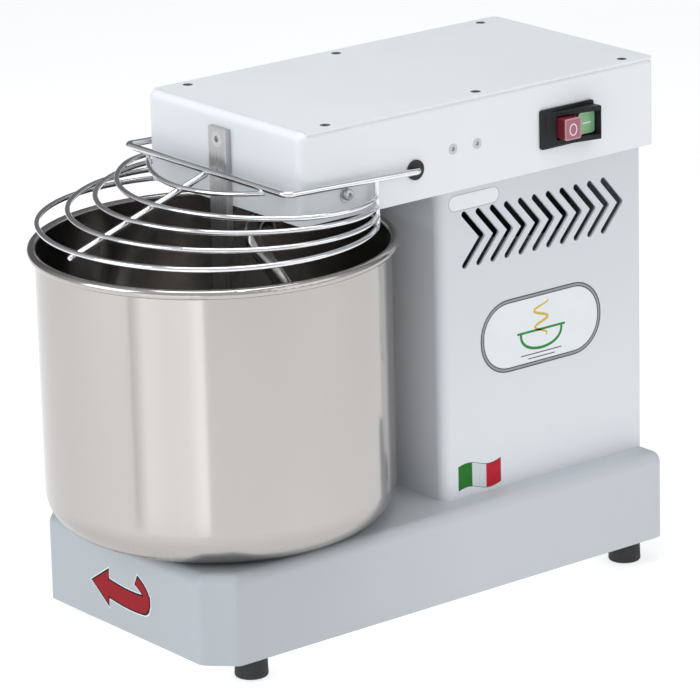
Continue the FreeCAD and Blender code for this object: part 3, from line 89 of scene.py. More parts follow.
class Finish:
    """A procedural material. Constants go straight to the shader; places are in metres on the piece."""

    def __init__(self, name, **constants):
        self.material = bpy.data.materials.new(name)
        self.material.use_nodes = True
        self.tree = self.material.node_tree
        self.shader = self.tree.nodes["Principled BSDF"]
        for socket, value in constants.items():
            self.shader.inputs[socket.replace("_", " ")].default_value = value
        self.place = self.node("ShaderNodeTexCoord", {}, {})[3]
        split = self.node("ShaderNodeSeparateXYZ", {}, {0: self.place})
        self.x, self.y, self.z = split

    def node(self, kind, settings, inputs):
        """Adds a node, sets it, joins its inputs by name or number, and returns its outputs."""
        node = self.tree.nodes.new(kind)
        for key, value in settings.items():
            if key == "stops":
                ramp = node.color_ramp.elements
                for i, (position, colour) in enumerate(value):
                    stop = ramp[i] if i < len(ramp) else ramp.new(position)
                    stop.position = position
                    stop.color = (*colour, 1.0)
            else:
                setattr(node, key, value)
        for key, value in inputs.items():
            if isinstance(value, Value):
                self.tree.links.new(value.socket, node.inputs[key])
            elif isinstance(value, tuple) and len(value) == 3 and node.inputs[key].type == "RGBA":
                node.inputs[key].default_value = (*value, 1.0)
            else:
                node.inputs[key].default_value = value
        return [Value(self, socket) for socket in node.outputs]

    def stretched(self, x, y, z):
        """The place scaled by these factors, for grain that runs one way."""
        return self.node("ShaderNodeVectorMath", {"operation": "MULTIPLY"}, {0: self.place, 1: (x, y, z)})[0]

    def noise(self, scale, detail=2.0, vector=None):
        inputs = {"Vector": vector or self.place, "Scale": scale, "Detail": detail}
        return self.node("ShaderNodeTexNoise", {}, inputs)[0]

    def blend(self, mask, a, b):
        """Colour a where the mask is 0 and b where it is 1."""
        return self.node("ShaderNodeMix", {"data_type": "RGBA"}, {0: mask, 6: a, 7: b})[2]

    def bump(self, height, distance, strength=1.0):
        inputs = {"Height": height, "Distance": distance, "Strength": strength}
        self.feed(Normal=self.node("ShaderNodeBump", {}, inputs)[0])

    def feed(self, **sockets):
        """Joins varying values to the shader."""
        for name, value in sockets.items():
            self.tree.links.new(value.socket, self.shader.inputs[name.replace("_", " ")])

    def coat(self, *nodes):
        """Puts this finish on CAD nodes."""
        for name in nodes:
            for material_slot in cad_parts[name].material_slots:
                material_slot.material = self.material


def grained(name, colour, patch, rough, grain, depth, **constants):
    """Finish with fine grain and patchy roughness; colour makes its base colour from it and the patches."""
    finish = Finish(name, **constants)
    cloud = finish.noise(patch, 3.0)
    fine = finish.noise(grain, 2.0)
    finish.feed(Base_Color=colour(finish, cloud), Roughness=rough[0] + (rough[1] - rough[0]) * cloud)
    finish.bump(fine, depth)
    return finish


def mottled(name, low, high, patch, rough, grain, depth, **constants):
    """Grained finish whose colour lies between two colours in the same soft patches."""

    def patchy(finish, cloud):
        return finish.blend(cloud, low, high)

    return grained(name, patchy, patch, rough, grain, depth, **constants)


painted_shade_reach = 0.24
column_low, column_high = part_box("column_casing")
base_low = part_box("base_casing")[0]


# Painted shade: the column is coloured greyer than the head and darkens from its foot towards its top,
# standing in for the shade under the head.
def column_painted_shade(finish, cloud):
    upward = (finish.z - column_low.z) / painted_shade_reach
    return finish.blend(upward, (0.755, 0.78, 0.81), (0.63, 0.655, 0.685))


# Painted shade: the base is coloured greyer than the head and darker still towards its front wall.
def base_painted_shade(finish, cloud):
    rearward = (finish.y - base_low.y) / painted_shade_reach
    return finish.blend(rearward, (0.43, 0.462, 0.49), (0.54, 0.575, 0.605))


powder_coat = mottled(
    "white_powder_coat", (0.795, 0.815, 0.84), (0.83, 0.85, 0.87), 14.0, (0.34, 0.46), 900.0, 0.00006,
)
powder_coat.coat("head_casing", "head_top_cover")
grained("column_powder_coat_painted_shade", column_painted_shade, 14.0, (0.36, 0.48), 900.0, 0.00006).coat("column_casing")
grained("base_powder_coat_painted_shade", base_painted_shade, 14.0, (0.36, 0.48), 900.0, 0.00006).coat("base_casing")

# ---- Rear cover and floor plate
# Flat sheet closing plates in the same powder, a little duller where they are handled.
plate_coat = mottled(
    "plate_powder_coat", (0.74, 0.76, 0.78), (0.79, 0.81, 0.83), 22.0, (0.42, 0.55), 700.0, 0.00008,
)
plate_coat.coat("base_floor_plate", "column_rear_cover")

# ---- Feet, grommets and shaft seal
# Moulded black rubber, matt, with a faint dusty bloom.
rubber = mottled(
    "black_rubber", (0.010, 0.010, 0.011), (0.030, 0.030, 0.032), 160.0, (0.55, 0.8), 1500.0, 0.00005,
)
rubber.coat("rubber_feet", "guard_grommets", "spiral_seal")

# ---- Screws and bolts
# Bright zinc-plated steel; turning leaves faint rings and the plating is slightly cloudy.
zinc = mottled(
    "zinc_plate", (0.46, 0.46, 0.47), (0.66, 0.66, 0.66), 260.0, (0.16, 0.34), 2400.0, 0.00002,
    Metallic=1.0,
)
zinc.coat(
    "foot_bolts", "cover_screws", "column_bolts", "flange_screws", "gearbox_screws", "guard_stop_screws",
    "side_screws", "breaker_bar_screws", "bowl_hub_screws",
)

# ---- Bowl
# Deep-drawn stainless steel with a rolled rim. The outside is mirror polished; the inside is ground
# round and round, which leaves fine level marks.
bowl_low, bowl_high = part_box("bowl")
bowl_x = (bowl_low.x + bowl_high.x) / 2
bowl_y = (bowl_low.y + bowl_high.y) / 2
inside_radius = 0.12925
bowl_steel = Finish("polished_bowl_steel", Metallic=1.0)
bowl_radius = ((bowl_steel.x - bowl_x) ** 2.0 + (bowl_steel.y - bowl_y) ** 2.0) ** 0.5
inside = (bowl_radius < inside_radius) * (bowl_steel.z > bowl_low.z + 0.0285)
polish = bowl_steel.noise(26.0, 4.0, bowl_steel.stretched(1.0, 1.0, 0.25))
outside_colour = bowl_steel.blend(polish, (0.475, 0.448, 0.43), (0.505, 0.478, 0.46))
inside_colour = bowl_steel.blend(polish, (0.62, 0.60, 0.585), (0.71, 0.69, 0.675))
grinding = bowl_steel.noise(40.0, 3.0, bowl_steel.stretched(0.4, 0.4, 45.0))
# Painted shade: the outside is coloured darker over its lowest 20 to 29 mm, where it nears the base.
corner = 1.0 - bowl_steel.node("ShaderNodeClamp", {}, {0: (bowl_steel.z - bowl_low.z - 0.020) / 0.009})[0]
wall_colour_with_painted_shade = bowl_steel.blend(corner, outside_colour, (0.435, 0.413, 0.397))
bowl_steel.feed(
    Base_Color=bowl_steel.blend(inside, wall_colour_with_painted_shade, inside_colour),
    Roughness=0.10 + 0.05 * polish + 0.14 * corner + inside * 0.05 * grinding,
)
bowl_steel.bump(polish * 0.5 + inside * grinding * 0.5, 0.00004)
bowl_steel.coat("bowl")

# ---- Breaker bar
# Ground flat stainless bar; the grinding marks run along its length.
ground_bar = Finish("ground_stainless", Metallic=1.0)
along_bar = ground_bar.noise(1.0, 3.0, ground_bar.stretched(1600.0, 1600.0, 14.0))
smudge = ground_bar.noise(30.0, 2.0)
ground_bar.feed(
    Base_Color=ground_bar.blend(along_bar, (0.42, 0.42, 0.42), (0.58, 0.575, 0.57)),
    Roughness=0.20 + 0.12 * along_bar + 0.06 * smudge,
)
ground_bar.bump(along_bar, 0.00004)
ground_bar.coat("breaker_bar")

# ---- Spiral tool
# Round stainless bar bent to a helix and welded to its hub, then polished.
spiral_steel = mottled(
    "polished_spiral_steel", (0.36, 0.35, 0.34), (0.50, 0.49, 0.48), 40.0, (0.12, 0.24), 600.0, 0.00004,
    Metallic=1.0,
)
spiral_steel.coat("spiral_tool")

# ---- Guard
# Steel wire, bent, welded where the rings meet the rods and the strut, and bright chrome plated.
chrome = mottled(
    "bright_chrome", (0.74, 0.745, 0.75), (0.86, 0.86, 0.87), 60.0, (0.03, 0.10), 500.0, 0.00003,
    Metallic=1.0,
)
chrome.coat("guard")

# ---- Castings
# Grey iron housings, painted over the sand-cast skin.
iron = mottled("painted_iron", (0.16, 0.18, 0.20), (0.24, 0.26, 0.28), 70.0, (0.45, 0.65), 420.0, 0.0004)
iron.coat(
    "bowl_bearing_housing", "spiral_bearing_housing", "main_shaft_bearing_housings", "gearbox_housing",
    "gearbox_cover",
)

# ---- Shafts, gears and sprockets
# Turned and hobbed steel with a thin film of oil; the tool marks run round the shafts.
turned = Finish("turned_steel", Metallic=1.0)
tool_marks = turned.noise(1.0, 2.0, turned.stretched(12.0, 12.0, 2600.0))
oil = turned.noise(45.0, 3.0)
turned.feed(
    Base_Color=turned.blend(oil, (0.36, 0.35, 0.33), (0.56, 0.55, 0.53)),
    Roughness=0.2 + 0.15 * tool_marks + 0.1 * oil,
)
turned.bump(tool_marks, 0.00003)
turned.coat(
    "bowl_spindle", "spiral_shaft", "main_shaft", "layshaft", "layshaft_gears", "output_gear",
    "drive_sprockets", "spiral_sprocket", "bowl_sprocket", "motor_rotor", "guard_cam",
)

# ---- Chains
# Heat-treated link plates, brown-black under chain oil, with brighter worn edges.
chain_steel = mottled(
    "oiled_chain_steel", (0.10, 0.09, 0.08), (0.30, 0.28, 0.26), 220.0, (0.22, 0.45), 900.0, 0.00006,
    Metallic=1.0,
)
chain_steel.coat("bowl_chain", "spiral_chain")

# ---- Ball bearings
# Hardened ground rings and balls, nearly mirror bright.
bearing_steel = mottled(
    "bearing_steel", (0.58, 0.58, 0.59), (0.72, 0.72, 0.73), 120.0, (0.08, 0.2), 2000.0, 0.00002,
    Metallic=1.0,
)
bearing_steel.coat(
    "bearing_outer_rings", "bowl_bearing_inner_rings", "spiral_bearing_inner_rings",
    "main_shaft_bearing_inner_rings", "layshaft_bearing_inner_rings", "motor_bearing_inner_rings",
)

# ---- Motor
# Die-cast aluminium flange, finned frame and end shield; varnished laminations and copper coils.
aluminium = mottled(
    "cast_aluminium", (0.50, 0.51, 0.52), (0.64, 0.65, 0.66), 90.0, (0.38, 0.58), 800.0, 0.0001,
    Metallic=1.0,
)
aluminium.coat("motor_flange", "motor_frame", "motor_end_shield")
stator_low, stator_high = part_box("motor_stator")
coil_length = 0.012
windings = Finish("laminations_and_coils", Metallic=0.6)
strands = windings.noise(1.0, 2.0, windings.stretched(70.0, 70.0, 2200.0))
core = (windings.z > stator_low.z + coil_length) * (windings.z < stator_high.z - coil_length)
copper = windings.blend(strands, (0.36, 0.14, 0.05), (0.62, 0.29, 0.13))
steel_sheets = windings.blend(strands, (0.14, 0.14, 0.15), (0.26, 0.26, 0.27))
windings.feed(Base_Color=windings.blend(core, copper, steel_sheets), Roughness=0.3 + 0.25 * strands)
windings.bump(strands, 0.0002)
windings.coat("motor_stator")

# ---- Black plastic
# Moulded nylon: fan, fan cover, switch flange and body, cable gland, microswitch, capacitor can.
black_plastic = mottled(
    "moulded_black_plastic", (0.009, 0.010, 0.012), (0.018, 0.019, 0.022), 60.0,
    (0.30, 0.46), 1400.0, 0.00004, Specular_IOR_Level=0.25,
)
black_plastic.coat(
    "motor_fan", "motor_fan_cover", "switch_bezel", "switch_body", "cable_gland", "guard_microswitch",
    "start_capacitor",
)

# ---- Push-buttons
# Moulded in red and in green, under a frosted clear skin; the outer faces are coloured paler than the
# flanks, and paler still at their rim.


def button_finish(name, node, side, face, edge_pale):
    """Button colour: side colour on the flanks, paler towards the outer face and its rim."""
    low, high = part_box(node)
    finish = Finish(name, Coat_Weight=0.35, Coat_Roughness=0.2)
    front = finish.x > high.x - 0.0006
    rim_width = 0.0011
    skin = finish.noise(300.0, 2.0)
    middle_y = (low.y + high.y) / 2
    middle_z = (low.z + high.z) / 2
    half_y = (high.y - low.y) / 2
    half_z = (high.z - low.z) / 2
    across_rim = abs(finish.y - middle_y) > half_y - rim_width
    upright_rim = abs(finish.z - middle_z) > half_z - rim_width
    rim = (across_rim + upright_rim) * front
    body = finish.blend(skin, side, tuple(c * 1.35 for c in side))
    outer = finish.blend(skin, face, tuple(c * 1.12 for c in face))
    colour = finish.blend(front, body, outer)
    finish.feed(Base_Color=finish.blend(rim * 0.55, colour, edge_pale), Roughness=0.3 + 0.15 * skin)
    finish.bump(skin, 0.00003)
    finish.coat(node)
    return high.x, middle_y, middle_z


stop_face = button_finish(
    "red_button", "stop_button", (0.15, 0.010, 0.020), (0.34, 0.105, 0.15), (0.55, 0.36, 0.40),
)
start_face = button_finish(
    "green_button", "start_button", (0.05, 0.26, 0.08), (0.21, 0.47, 0.22), (0.55, 0.72, 0.55),
)


def surface(name, points, body, slot, finish, ring=False, caps=False, smooth=True):
    """A mesh through rows of points. ring joins the last column to the first; caps close both ends."""
    rows, columns = points.shape[:2]
    count = columns if ring else columns - 1
    index = np.arange(rows * columns).reshape(rows, columns)
    a = index[:-1, :count]
    b = index[1:, :count]
    c = np.roll(index, -1, axis=1)[1:, :count]
    d = np.roll(index, -1, axis=1)[:-1, :count]
    faces = np.stack([a, b, c, d], axis=-1).reshape(-1, 4).tolist()
    if caps:
        faces.append(index[0].tolist())
        faces.append(index[-1].tolist())
    mesh = bpy.data.meshes.new(name)
    mesh.from_pydata(points.reshape(-1, 3).tolist(), [], faces)
    shape = bmesh.new()
    shape.from_mesh(mesh)
    bmesh.ops.remove_doubles(shape, verts=shape.verts, dist=1e-7)
    bmesh.ops.recalc_face_normals(shape, faces=shape.faces)
    shape.to_mesh(mesh)
    shape.free()
    mesh.polygons.foreach_set("use_smooth", np.full(len(mesh.polygons), smooth))
    mesh.materials.append(finish.material)
    piece = bpy.data.objects.new(name, mesh)
    bpy.context.scene.collection.objects.link(piece)
    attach(piece, body)
    return piece


def printed_band(name, centre, half, lift, thick, place, body, slot, finish):
    """A flat band: centre(t) +/- half(t) across it, raised from lift to lift + thick.

    place turns flat coordinates (a, b) and a height into points of the frame.
    """
    run = np.gradient(centre, axis=0)
    run /= np.linalg.norm(run, axis=1, keepdims=True) + 1e-12
    across = np.stack([-run[:, 1], run[:, 0]], axis=1)
    left = centre + across * half[:, None]
    right = centre - across * half[:, None]
    columns = [place(left, lift), place(left, lift + thick), place(right, lift + thick), place(right, lift)]
    return surface(name, np.stack(columns, axis=1), body, slot, finish, ring=True, caps=True, smooth=False)


def on_right_side(x):
    """Places (y, z) on a wall that faces +X at this x."""
    return lambda flat, height: np.stack([np.full(len(flat), x + height), flat[:, 0], flat[:, 1]], axis=1)


mark_ink = mottled("white_mark", (0.80, 0.70, 0.74), (0.90, 0.82, 0.85), 900.0, (0.35, 0.5), 2500.0, 0.00001)
mark_thick = 0.00012
mark_sink = -0.00003
ring_half = 0.00045
turn = np.linspace(0.0, 2.0 * math.pi, 49)
round_turn = np.stack([np.cos(turn), np.sin(turn)], axis=1)
off_ring = np.array([stop_face[1], stop_face[2] - 0.0006]) + round_turn * np.array([0.0033, 0.0042])
ring_rows = []
for side, lift in ((-1, mark_sink), (-1, mark_thick), (1, mark_thick), (1, mark_sink)):
    ring_rows.append(on_right_side(stop_face[0])(off_ring + round_turn * ring_half * side, lift))
surface(
    "stop_ring_mark", np.stack(ring_rows, axis=1), "stop_button", "red_plastic", mark_ink,
    ring=True, smooth=False,
)
bar_run = np.linspace(-0.0038, 0.0038, 9)
bar_line = np.stack([start_face[1] + bar_run, np.full(9, start_face[2])], axis=1)
printed_band(
    "start_bar_mark", bar_line, np.full(9, 0.00055), mark_sink, mark_thick - mark_sink,
    on_right_side(start_face[0]), "start_button", "green_plastic", mark_ink,
)

# ---- Rotation arrow
# Printed vinyl sticker on the base's front: a red arrow with a black edge on a pale backing, bent
# round at its tail to show which way the bowl turns.


def on_front(flat, height):
    """Places (x, z) on the base's front wall, which faces -Y."""
    return np.stack([flat[:, 0], np.full(len(flat), base_low.y - height), flat[:, 1]], axis=1)


def printed_ink(name, low, high):
    """Flat ink under a thin clear film."""
    return mottled(name, low, high, 200.0, (0.4, 0.5), 1500.0, 0.00001, Specular_IOR_Level=0.12)


arrow_thick = 0.00008


def arrow_layer(name, grow, lift, finish):
    """One layer of the arrow, wider all round by grow: head, shaft with a round corner, and tail."""
    riding = (on_front, "chassis", "red_plastic", finish)
    tip, neck, end = -0.0386, -0.0190, 0.0318
    head_x = np.array([tip - 1.6 * grow, neck + 0.6 * grow])
    head = np.stack([head_x, np.array([0.0497, 0.0490])], axis=1)
    head_half = np.array([0.00001, 0.0132 + 1.7 * grow])
    printed_band(name + "_head", head, head_half, lift, arrow_thick, *riding)
    t = np.linspace(0.0, 1.0, 33)
    x = neck - 0.6 * grow + (end + grow - neck + 0.6 * grow) * t
    sag = 0.0488 - 0.0024 * np.sin(math.pi * np.clip(t * 0.9, 0, 1))
    corner = 0.0085
    inset = np.clip((x - (end + grow - corner)) / corner, 0.0, 1.0)
    lower = corner * (1.0 - np.sqrt(1.0 - inset ** 2))
    top = sag + 0.0064 + grow
    bottom = sag - 0.0066 - grow + lower
    face = lift + arrow_thick
    columns = []
    for level, height in ((top, lift), (top, face), (bottom, face), (bottom, lift)):
        columns.append(on_front(np.stack([x, level], axis=1), height))
    points = np.stack(columns, axis=1)
    surface(name + "_shaft", points, *riding[1:], ring=True, caps=True, smooth=False)
    t = np.linspace(0.0, 1.0, 17)[:, None]
    a, b, c = np.array([0.0290, 0.0520]), np.array([0.0270, 0.0590]), np.array([0.0170, 0.0638])
    tail = (1 - t) ** 2 * a + 2 * t * (1 - t) * b + t ** 2 * c
    step = (tail[-1] - tail[-2]) / np.linalg.norm(tail[-1] - tail[-2])
    tail = np.vstack([tail, tail[-1] + step * max(grow, 1e-5)])
    tail_half = np.linspace(0.0029, 0.0033, 18) + grow
    printed_band(name + "_tail", tail, tail_half, lift + 0.00001, arrow_thick, *riding)


pale_vinyl = mottled(
    "pale_vinyl", (0.72, 0.76, 0.78), (0.80, 0.83, 0.85), 300.0, (0.3, 0.4), 1500.0, 0.00001,
)
black_ink = printed_ink("black_ink", (0.006, 0.006, 0.007), (0.012, 0.011, 0.012))
red_ink = printed_ink("red_ink", (0.27, 0.004, 0.010), (0.34, 0.006, 0.014))
arrow_layer("arrow_backing", 0.0021, -0.00002, pale_vinyl)
arrow_layer("arrow_edge", 0.0013, 0.00005, black_ink)
arrow_layer("arrow_fill", 0.0, 0.00012, red_ink)

# ---- Column stickers
# Printed vinyl on the column's right side: a blank plate, an oval badge with a plain picture of a
# bowl and a spiral, and a small three-coloured flag with a thin dark edge.
column_side = on_right_side(column_high.x)
sticker_thick = 0.00009


def rounded_plate(centre, half_width, half_height, radius, count=10):
    """Closed outline of a rounded rectangle: four straight sides joined by quarter circles."""
    corners = []
    for i, (a, b) in enumerate(((1, 1), (-1, 1), (-1, -1), (1, -1))):
        angle = np.linspace(0, math.pi / 2, count) + i * math.pi / 2
        hub = np.array([centre[0] + a * (half_width - radius), centre[1] + b * (half_height - radius)])
        corners.append(hub + radius * np.stack([np.cos(angle), np.sin(angle)], axis=1))
    return np.vstack(corners)


def sticker(name, outline, lift, place, body, slot, finish):
    """A thin plate with this outline, from its underside's middle, over its edge, to its top's middle."""
    middle = outline.mean(axis=0, keepdims=True) + outline * 0
    rings = [place(middle, lift), place(outline, lift), place(outline, lift + sticker_thick)]
    rings.append(place(middle, lift + sticker_thick))
    return surface(name, np.stack(rings), body, slot, finish, ring=True, smooth=False)


def outline_rim(name, outline, inner, lift, place, body, slot, finish):
    """A flat frame between two outlines."""
    top = lift + sticker_thick
    corners = ((outline, lift), (outline, top), (inner, top), (inner, lift), (outline, lift))
    rings = [place(edge, height) for edge, height in corners]
    return surface(name, np.stack(rings), body, slot, finish, ring=True, smooth=False)


badge_vinyl = mottled(
    "badge_vinyl", (0.76, 0.79, 0.82), (0.81, 0.84, 0.86), 60.0, (0.25, 0.34), 1200.0, 0.00001,
)
grey_ink = printed_ink("grey_ink", (0.060, 0.066, 0.072), (0.10, 0.106, 0.112))
mid_grey_ink = printed_ink("mid_grey_ink", (0.27, 0.29, 0.31), (0.34, 0.36, 0.38))
green_ink = printed_ink("green_ink", (0.03, 0.23, 0.045), (0.05, 0.29, 0.065))
yellow_ink = printed_ink("yellow_ink", (0.60, 0.44, 0.07), (0.70, 0.54, 0.11))
flag_green = printed_ink("flag_green", (0.018, 0.155, 0.018), (0.028, 0.20, 0.03))
flag_white = printed_ink("flag_white", (0.60, 0.64, 0.67), (0.68, 0.71, 0.74))
flag_red = printed_ink("flag_red", (0.46, 0.012, 0.028), (0.54, 0.018, 0.036))

sink = -0.00002
ink_lift = sink + 0.00004
on_column = (column_side, "chassis", "white_coat")
plate_at = (bowl_y + 0.1720, 0.3158)
plate_outer = rounded_plate(plate_at, 0.0242, 0.0062, 0.0060)
plate_inner = rounded_plate(plate_at, 0.0238, 0.0058, 0.0056)
sticker("blank_plate", plate_outer, sink, *on_column, badge_vinyl)
outline_rim("blank_plate_line", plate_outer, plate_inner, ink_lift, *on_column, mid_grey_ink)

badge_at = (bowl_y + 0.2355, 0.2043)
badge_size = (0.0592, 0.0283)
badge_radius = 0.0270
badge_lines = ((0.0, 0.0009, grey_ink), (0.0009, 0.0026, mid_grey_ink), (0.0026, 0.0034, grey_ink))


def badge_outline(inset):
    """The badge's outline, moved in by inset."""
    return rounded_plate(badge_at, badge_size[0] - inset, badge_size[1] - inset, badge_radius - inset)


sticker("badge_plate", badge_outline(0.0), sink, *on_column, badge_vinyl)
for i, (outer, inner, ink) in enumerate(badge_lines):
    name = "badge_line_%d" % (i + 1)
    outline_rim(name, badge_outline(outer), badge_outline(inner), ink_lift, *on_column, ink)


def badge_stroke(name, points, half, ink):
    """A printed stroke on the badge through points given from its middle."""
    centre = np.asarray(points) + np.array(badge_at)
    printed_band(name, centre, half, ink_lift, sticker_thick, *on_column, ink)


u = np.linspace(0.0, 1.0, 25)
bowl_curve = np.stack([-0.020 * np.cos(math.pi * u), -0.002 - 0.0135 * np.sin(math.pi * u) ** 0.8], axis=1)
badge_stroke("badge_bowl", bowl_curve, np.full(25, 0.0011), green_ink)
rim_line = np.stack([-0.0235 + 0.047 * u, np.full(25, -0.0012)], axis=1)
badge_stroke("badge_bowl_rim", rim_line, np.full(25, 0.0009), green_ink)
coil = np.stack([0.0075 * np.cos(4.2 * math.pi * u) * (1 - 0.25 * u), 0.0205 - 0.027 * u], axis=1)
badge_stroke("badge_spiral", coil, 0.0006 + 0.0005 * np.sin(math.pi * u), yellow_ink)
for i, (level, reach) in enumerate(((-0.0190, 0.020), (-0.0222, 0.013))):
    rule = np.stack([-reach + 2 * reach * u, np.full(25, level)], axis=1)
    badge_stroke("badge_rule_%d" % (i + 1), rule, np.full(25, 0.0004), grey_ink)

flag_at = (bowl_y + 0.1531, 0.0935)
flag_size = (0.0406, 0.0182)
flag_bands = (
    ("edge", -0.010, 1.010, 0.0004, sink, grey_ink), ("green", 0.0, 0.32, 0.0, 0.0, flag_green),
    ("white", 0.32, 0.655, 0.0, 0.0, flag_white), ("red", 0.655, 1.0, 0.0, 0.0, flag_red),
)
for colour, start, end, grow, lift, ink in flag_bands:
    t = np.linspace(start, end, 13)
    wave = 0.0022 * np.sin(2 * math.pi * t * 0.95 + 0.3) - 0.0008 * t
    middle = np.stack([flag_at[0] + flag_size[0] * t, flag_at[1] + flag_size[1] / 2 + wave], axis=1)
    upper = middle + np.array([0.0, flag_size[1] / 2 + grow])
    lower = middle - np.array([0.0, flag_size[1] / 2 + grow])
    levels = ((upper, lift), (upper, lift + sticker_thick), (lower, lift + sticker_thick), (lower, lift))
    points = np.stack([column_side(edge, height) for edge, height in levels], axis=1)
    surface("flag_" + colour, points, *on_column[1:], ink, ring=True, caps=True, smooth=False)

# ---- Floor, lights and camera
# Pale bench top, a white room with a darker side behind the machine, three soft boxes, and a white
# card that only polished metal reflects.
floor_size = 3.2
floor_count = 41
floor_line = np.linspace(-floor_size, floor_size, floor_count)
floor_x, floor_y = np.meshgrid(floor_line, floor_line, indexing="ij")
floor_points = np.stack([floor_x, floor_y, np.zeros_like(floor_x)], axis=-1)
bench = mottled(
    "pale_bench", (0.56, 0.56, 0.56), (0.60, 0.60, 0.60), 3.0, (0.6, 0.7), 60.0, 0.00002,
    Emission_Color=(1.0, 1.0, 1.0, 1.0), Emission_Strength=0.62,
)
floor_mesh = bpy.data.meshes.new("floor")
floor_index = np.arange(floor_count ** 2).reshape(floor_count, floor_count)
floor_faces = np.stack(
    [floor_index[:-1, :-1], floor_index[1:, :-1], floor_index[1:, 1:], floor_index[:-1, 1:]], axis=-1,
).reshape(-1, 4)
floor_mesh.from_pydata(floor_points.reshape(-1, 3).tolist(), [], floor_faces.tolist())
floor_mesh.materials.append(bench.material)
floor = bpy.data.objects.new("floor", floor_mesh)
bpy.context.scene.collection.objects.link(floor)

camera_azimuth = math.radians(51.879)
camera_elevation = math.radians(17.441)
camera_roll = math.radians(-1.446)
camera_distance = 3.3496
camera_lens = 230.55
aim_right = 0.014594
aim_height = 0.193233


def direction(azimuth, elevation):
    """Unit vector from the machine towards this azimuth and elevation, in radians."""
    flat = math.cos(elevation)
    return np.array([math.sin(azimuth) * flat, -math.cos(azimuth) * flat, math.sin(elevation)])


backward = direction(camera_azimuth, camera_elevation)
rightward = np.array([math.cos(camera_azimuth), math.sin(camera_azimuth), 0.0])
upward = np.cross(backward, rightward)
rolled_right = rightward * math.cos(camera_roll) + upward * math.sin(camera_roll)
rolled_up = upward * math.cos(camera_roll) - rightward * math.sin(camera_roll)
aim = rightward * aim_right + np.array([0.0, -0.001, aim_height])
camera_data = bpy.data.cameras.new("camera")
camera_data.lens = camera_lens
camera_data.sensor_width = 36.0
camera_data.clip_end = 50.0
camera = bpy.data.objects.new("camera", camera_data)
bpy.context.scene.collection.objects.link(camera)
turned_axes = np.eye(4)
turned_axes[:3, 0] = rolled_right
turned_axes[:3, 1] = rolled_up
turned_axes[:3, 2] = backward
turned_axes[:3, 3] = aim + backward * camera_distance
camera.matrix_world = Matrix(turned_axes.tolist())
bpy.context.scene.camera = camera
bpy.context.scene.view_settings.view_transform = "Standard"


def soft_box(name, azimuth, elevation, distance, width, height, power, colour):
    """A rectangular area light that faces the machine's middle."""
    data = bpy.data.lights.new(name, "AREA")
    data.shape = "RECTANGLE"
    data.size = width
    data.size_y = height
    data.energy = power
    data.color = colour
    lamp = bpy.data.objects.new(name, data)
    towards = direction(math.radians(azimuth), math.radians(elevation))
    side = np.array([-towards[1], towards[0], 0.0])
    side /= np.linalg.norm(side)
    axes = np.eye(4)
    axes[:3, 0] = side
    axes[:3, 1] = np.cross(towards, side)
    axes[:3, 2] = towards
    axes[:3, 3] = towards * distance + np.array([0.0, 0.0, 0.2])
    lamp.matrix_world = Matrix(axes.tolist())
    lamp.visible_camera = False
    bpy.context.scene.collection.objects.link(lamp)


soft_box("key_light", 112.0, 30.0, 1.5, 0.9, 0.9, 1.8, (1.0, 0.99, 0.98))
soft_box("front_light", -14.0, 24.0, 1.9, 1.0, 1.2, 9.5, (0.86, 0.95, 1.0))
soft_box("top_light", 40.0, 85.0, 1.7, 1.2, 1.2, 12.0, (0.97, 0.985, 1.0))


def reflection_card(name, points, glow):
    """A glowing sheet that shows only in polished metal; glow maps its finish to a strength."""
    rows, columns = points.shape[:2]
    index = np.arange(rows * columns).reshape(rows, columns)
    corners = [index[:-1, :-1], index[1:, :-1], index[1:, 1:], index[:-1, 1:]]
    mesh = bpy.data.meshes.new(name)
    mesh.from_pydata(points.reshape(-1, 3).tolist(), [], np.stack(corners, axis=-1).reshape(-1, 4).tolist())
    finish = Finish(name, Base_Color=(0.0, 0.0, 0.0, 1.0), Roughness=1.0, Emission_Strength=1.0)
    level = glow(finish)
    finish.feed(Emission_Color=finish.node("ShaderNodeCombineColor", {}, {0: level, 1: level, 2: level})[0])
    mesh.materials.append(finish.material)
    card = bpy.data.objects.new(name, mesh)
    bpy.context.scene.collection.objects.link(card)
    for ray in ("camera", "diffuse", "transmission", "shadow", "volume_scatter"):
        setattr(card, "visible_" + ray, False)


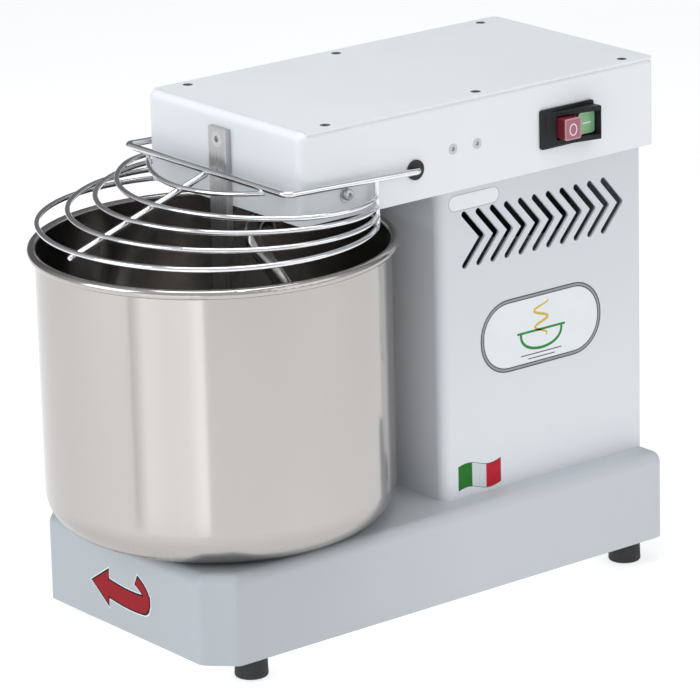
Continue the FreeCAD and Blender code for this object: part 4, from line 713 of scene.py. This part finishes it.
def white_card_glow(finish):
    """Two soft brighter edges on a card that is evenly lit between them."""
    dx = finish.x - bowl_x
    dy = finish.y - bowl_y
    bearing = finish.node("ShaderNodeMath", {"operation": "ARCTAN2"}, {0: dx, 1: 0.0 - dy})[0]
    edge_stops = [(0.0, (0.85, 0.85, 0.85)), (0.20, (1.50, 1.50, 1.50)), (0.50, (1.40, 1.40, 1.40))]
    edge_stops += [(0.78, (1.45, 1.45, 1.45)), (0.93, (1.72, 1.72, 1.72)), (1.0, (1.66, 1.66, 1.66))]
    share = (bearing - card_start) / (card_end - card_start)
    return finish.node("ShaderNodeValToRGB", {"stops": edge_stops}, {0: share})[0]


card_start = math.radians(4.0)
card_end = math.radians(47.0)
card_radius = 0.46
card_turns = np.linspace(card_start, card_end, 40)
card_turn, card_height = np.meshgrid(card_turns, np.linspace(0.001, 0.30, 8), indexing="ij")
card_x = bowl_x + card_radius * np.sin(card_turn)
card_y = bowl_y - card_radius * np.cos(card_turn)
card_points = np.stack([card_x, card_y, card_height], axis=-1)
reflection_card("white_card", card_points, white_card_glow)

world = bpy.data.worlds.new("white_room")
bpy.context.scene.world = world
world.use_nodes = True
room = world.node_tree
room_shader = room.nodes["Background"]
room_shader.inputs["Strength"].default_value = 1.0
room_place = room.nodes.new("ShaderNodeTexCoord")
away = room.nodes.new("ShaderNodeVectorMath")
away.operation = "DOT_PRODUCT"
away.inputs[1].default_value = (-math.sin(camera_azimuth), math.cos(camera_azimuth), 0.05)
room.links.new(room_place.outputs["Generated"], away.inputs[0])
shade = room.nodes.new("ShaderNodeValToRGB")
shade.color_ramp.elements[0].position = 0.0
shade.color_ramp.elements[0].color = (0.66, 0.67, 0.69, 1.0)
shade.color_ramp.elements[1].position = 0.75
shade.color_ramp.elements[1].color = (0.17, 0.17, 0.18, 1.0)
room.links.new(away.outputs["Value"], shade.inputs["Fac"])
light_path = room.nodes.new("ShaderNodeLightPath")
seen = room.nodes.new("ShaderNodeMix")
seen.data_type = "RGBA"
seen.inputs[7].default_value = (1.0, 1.0, 1.0, 1.0)
room.links.new(light_path.outputs["Is Camera Ray"], seen.inputs[0])
room.links.new(shade.outputs["Color"], seen.inputs[6])
room.links.new(seen.outputs[2], room_shader.inputs["Color"])
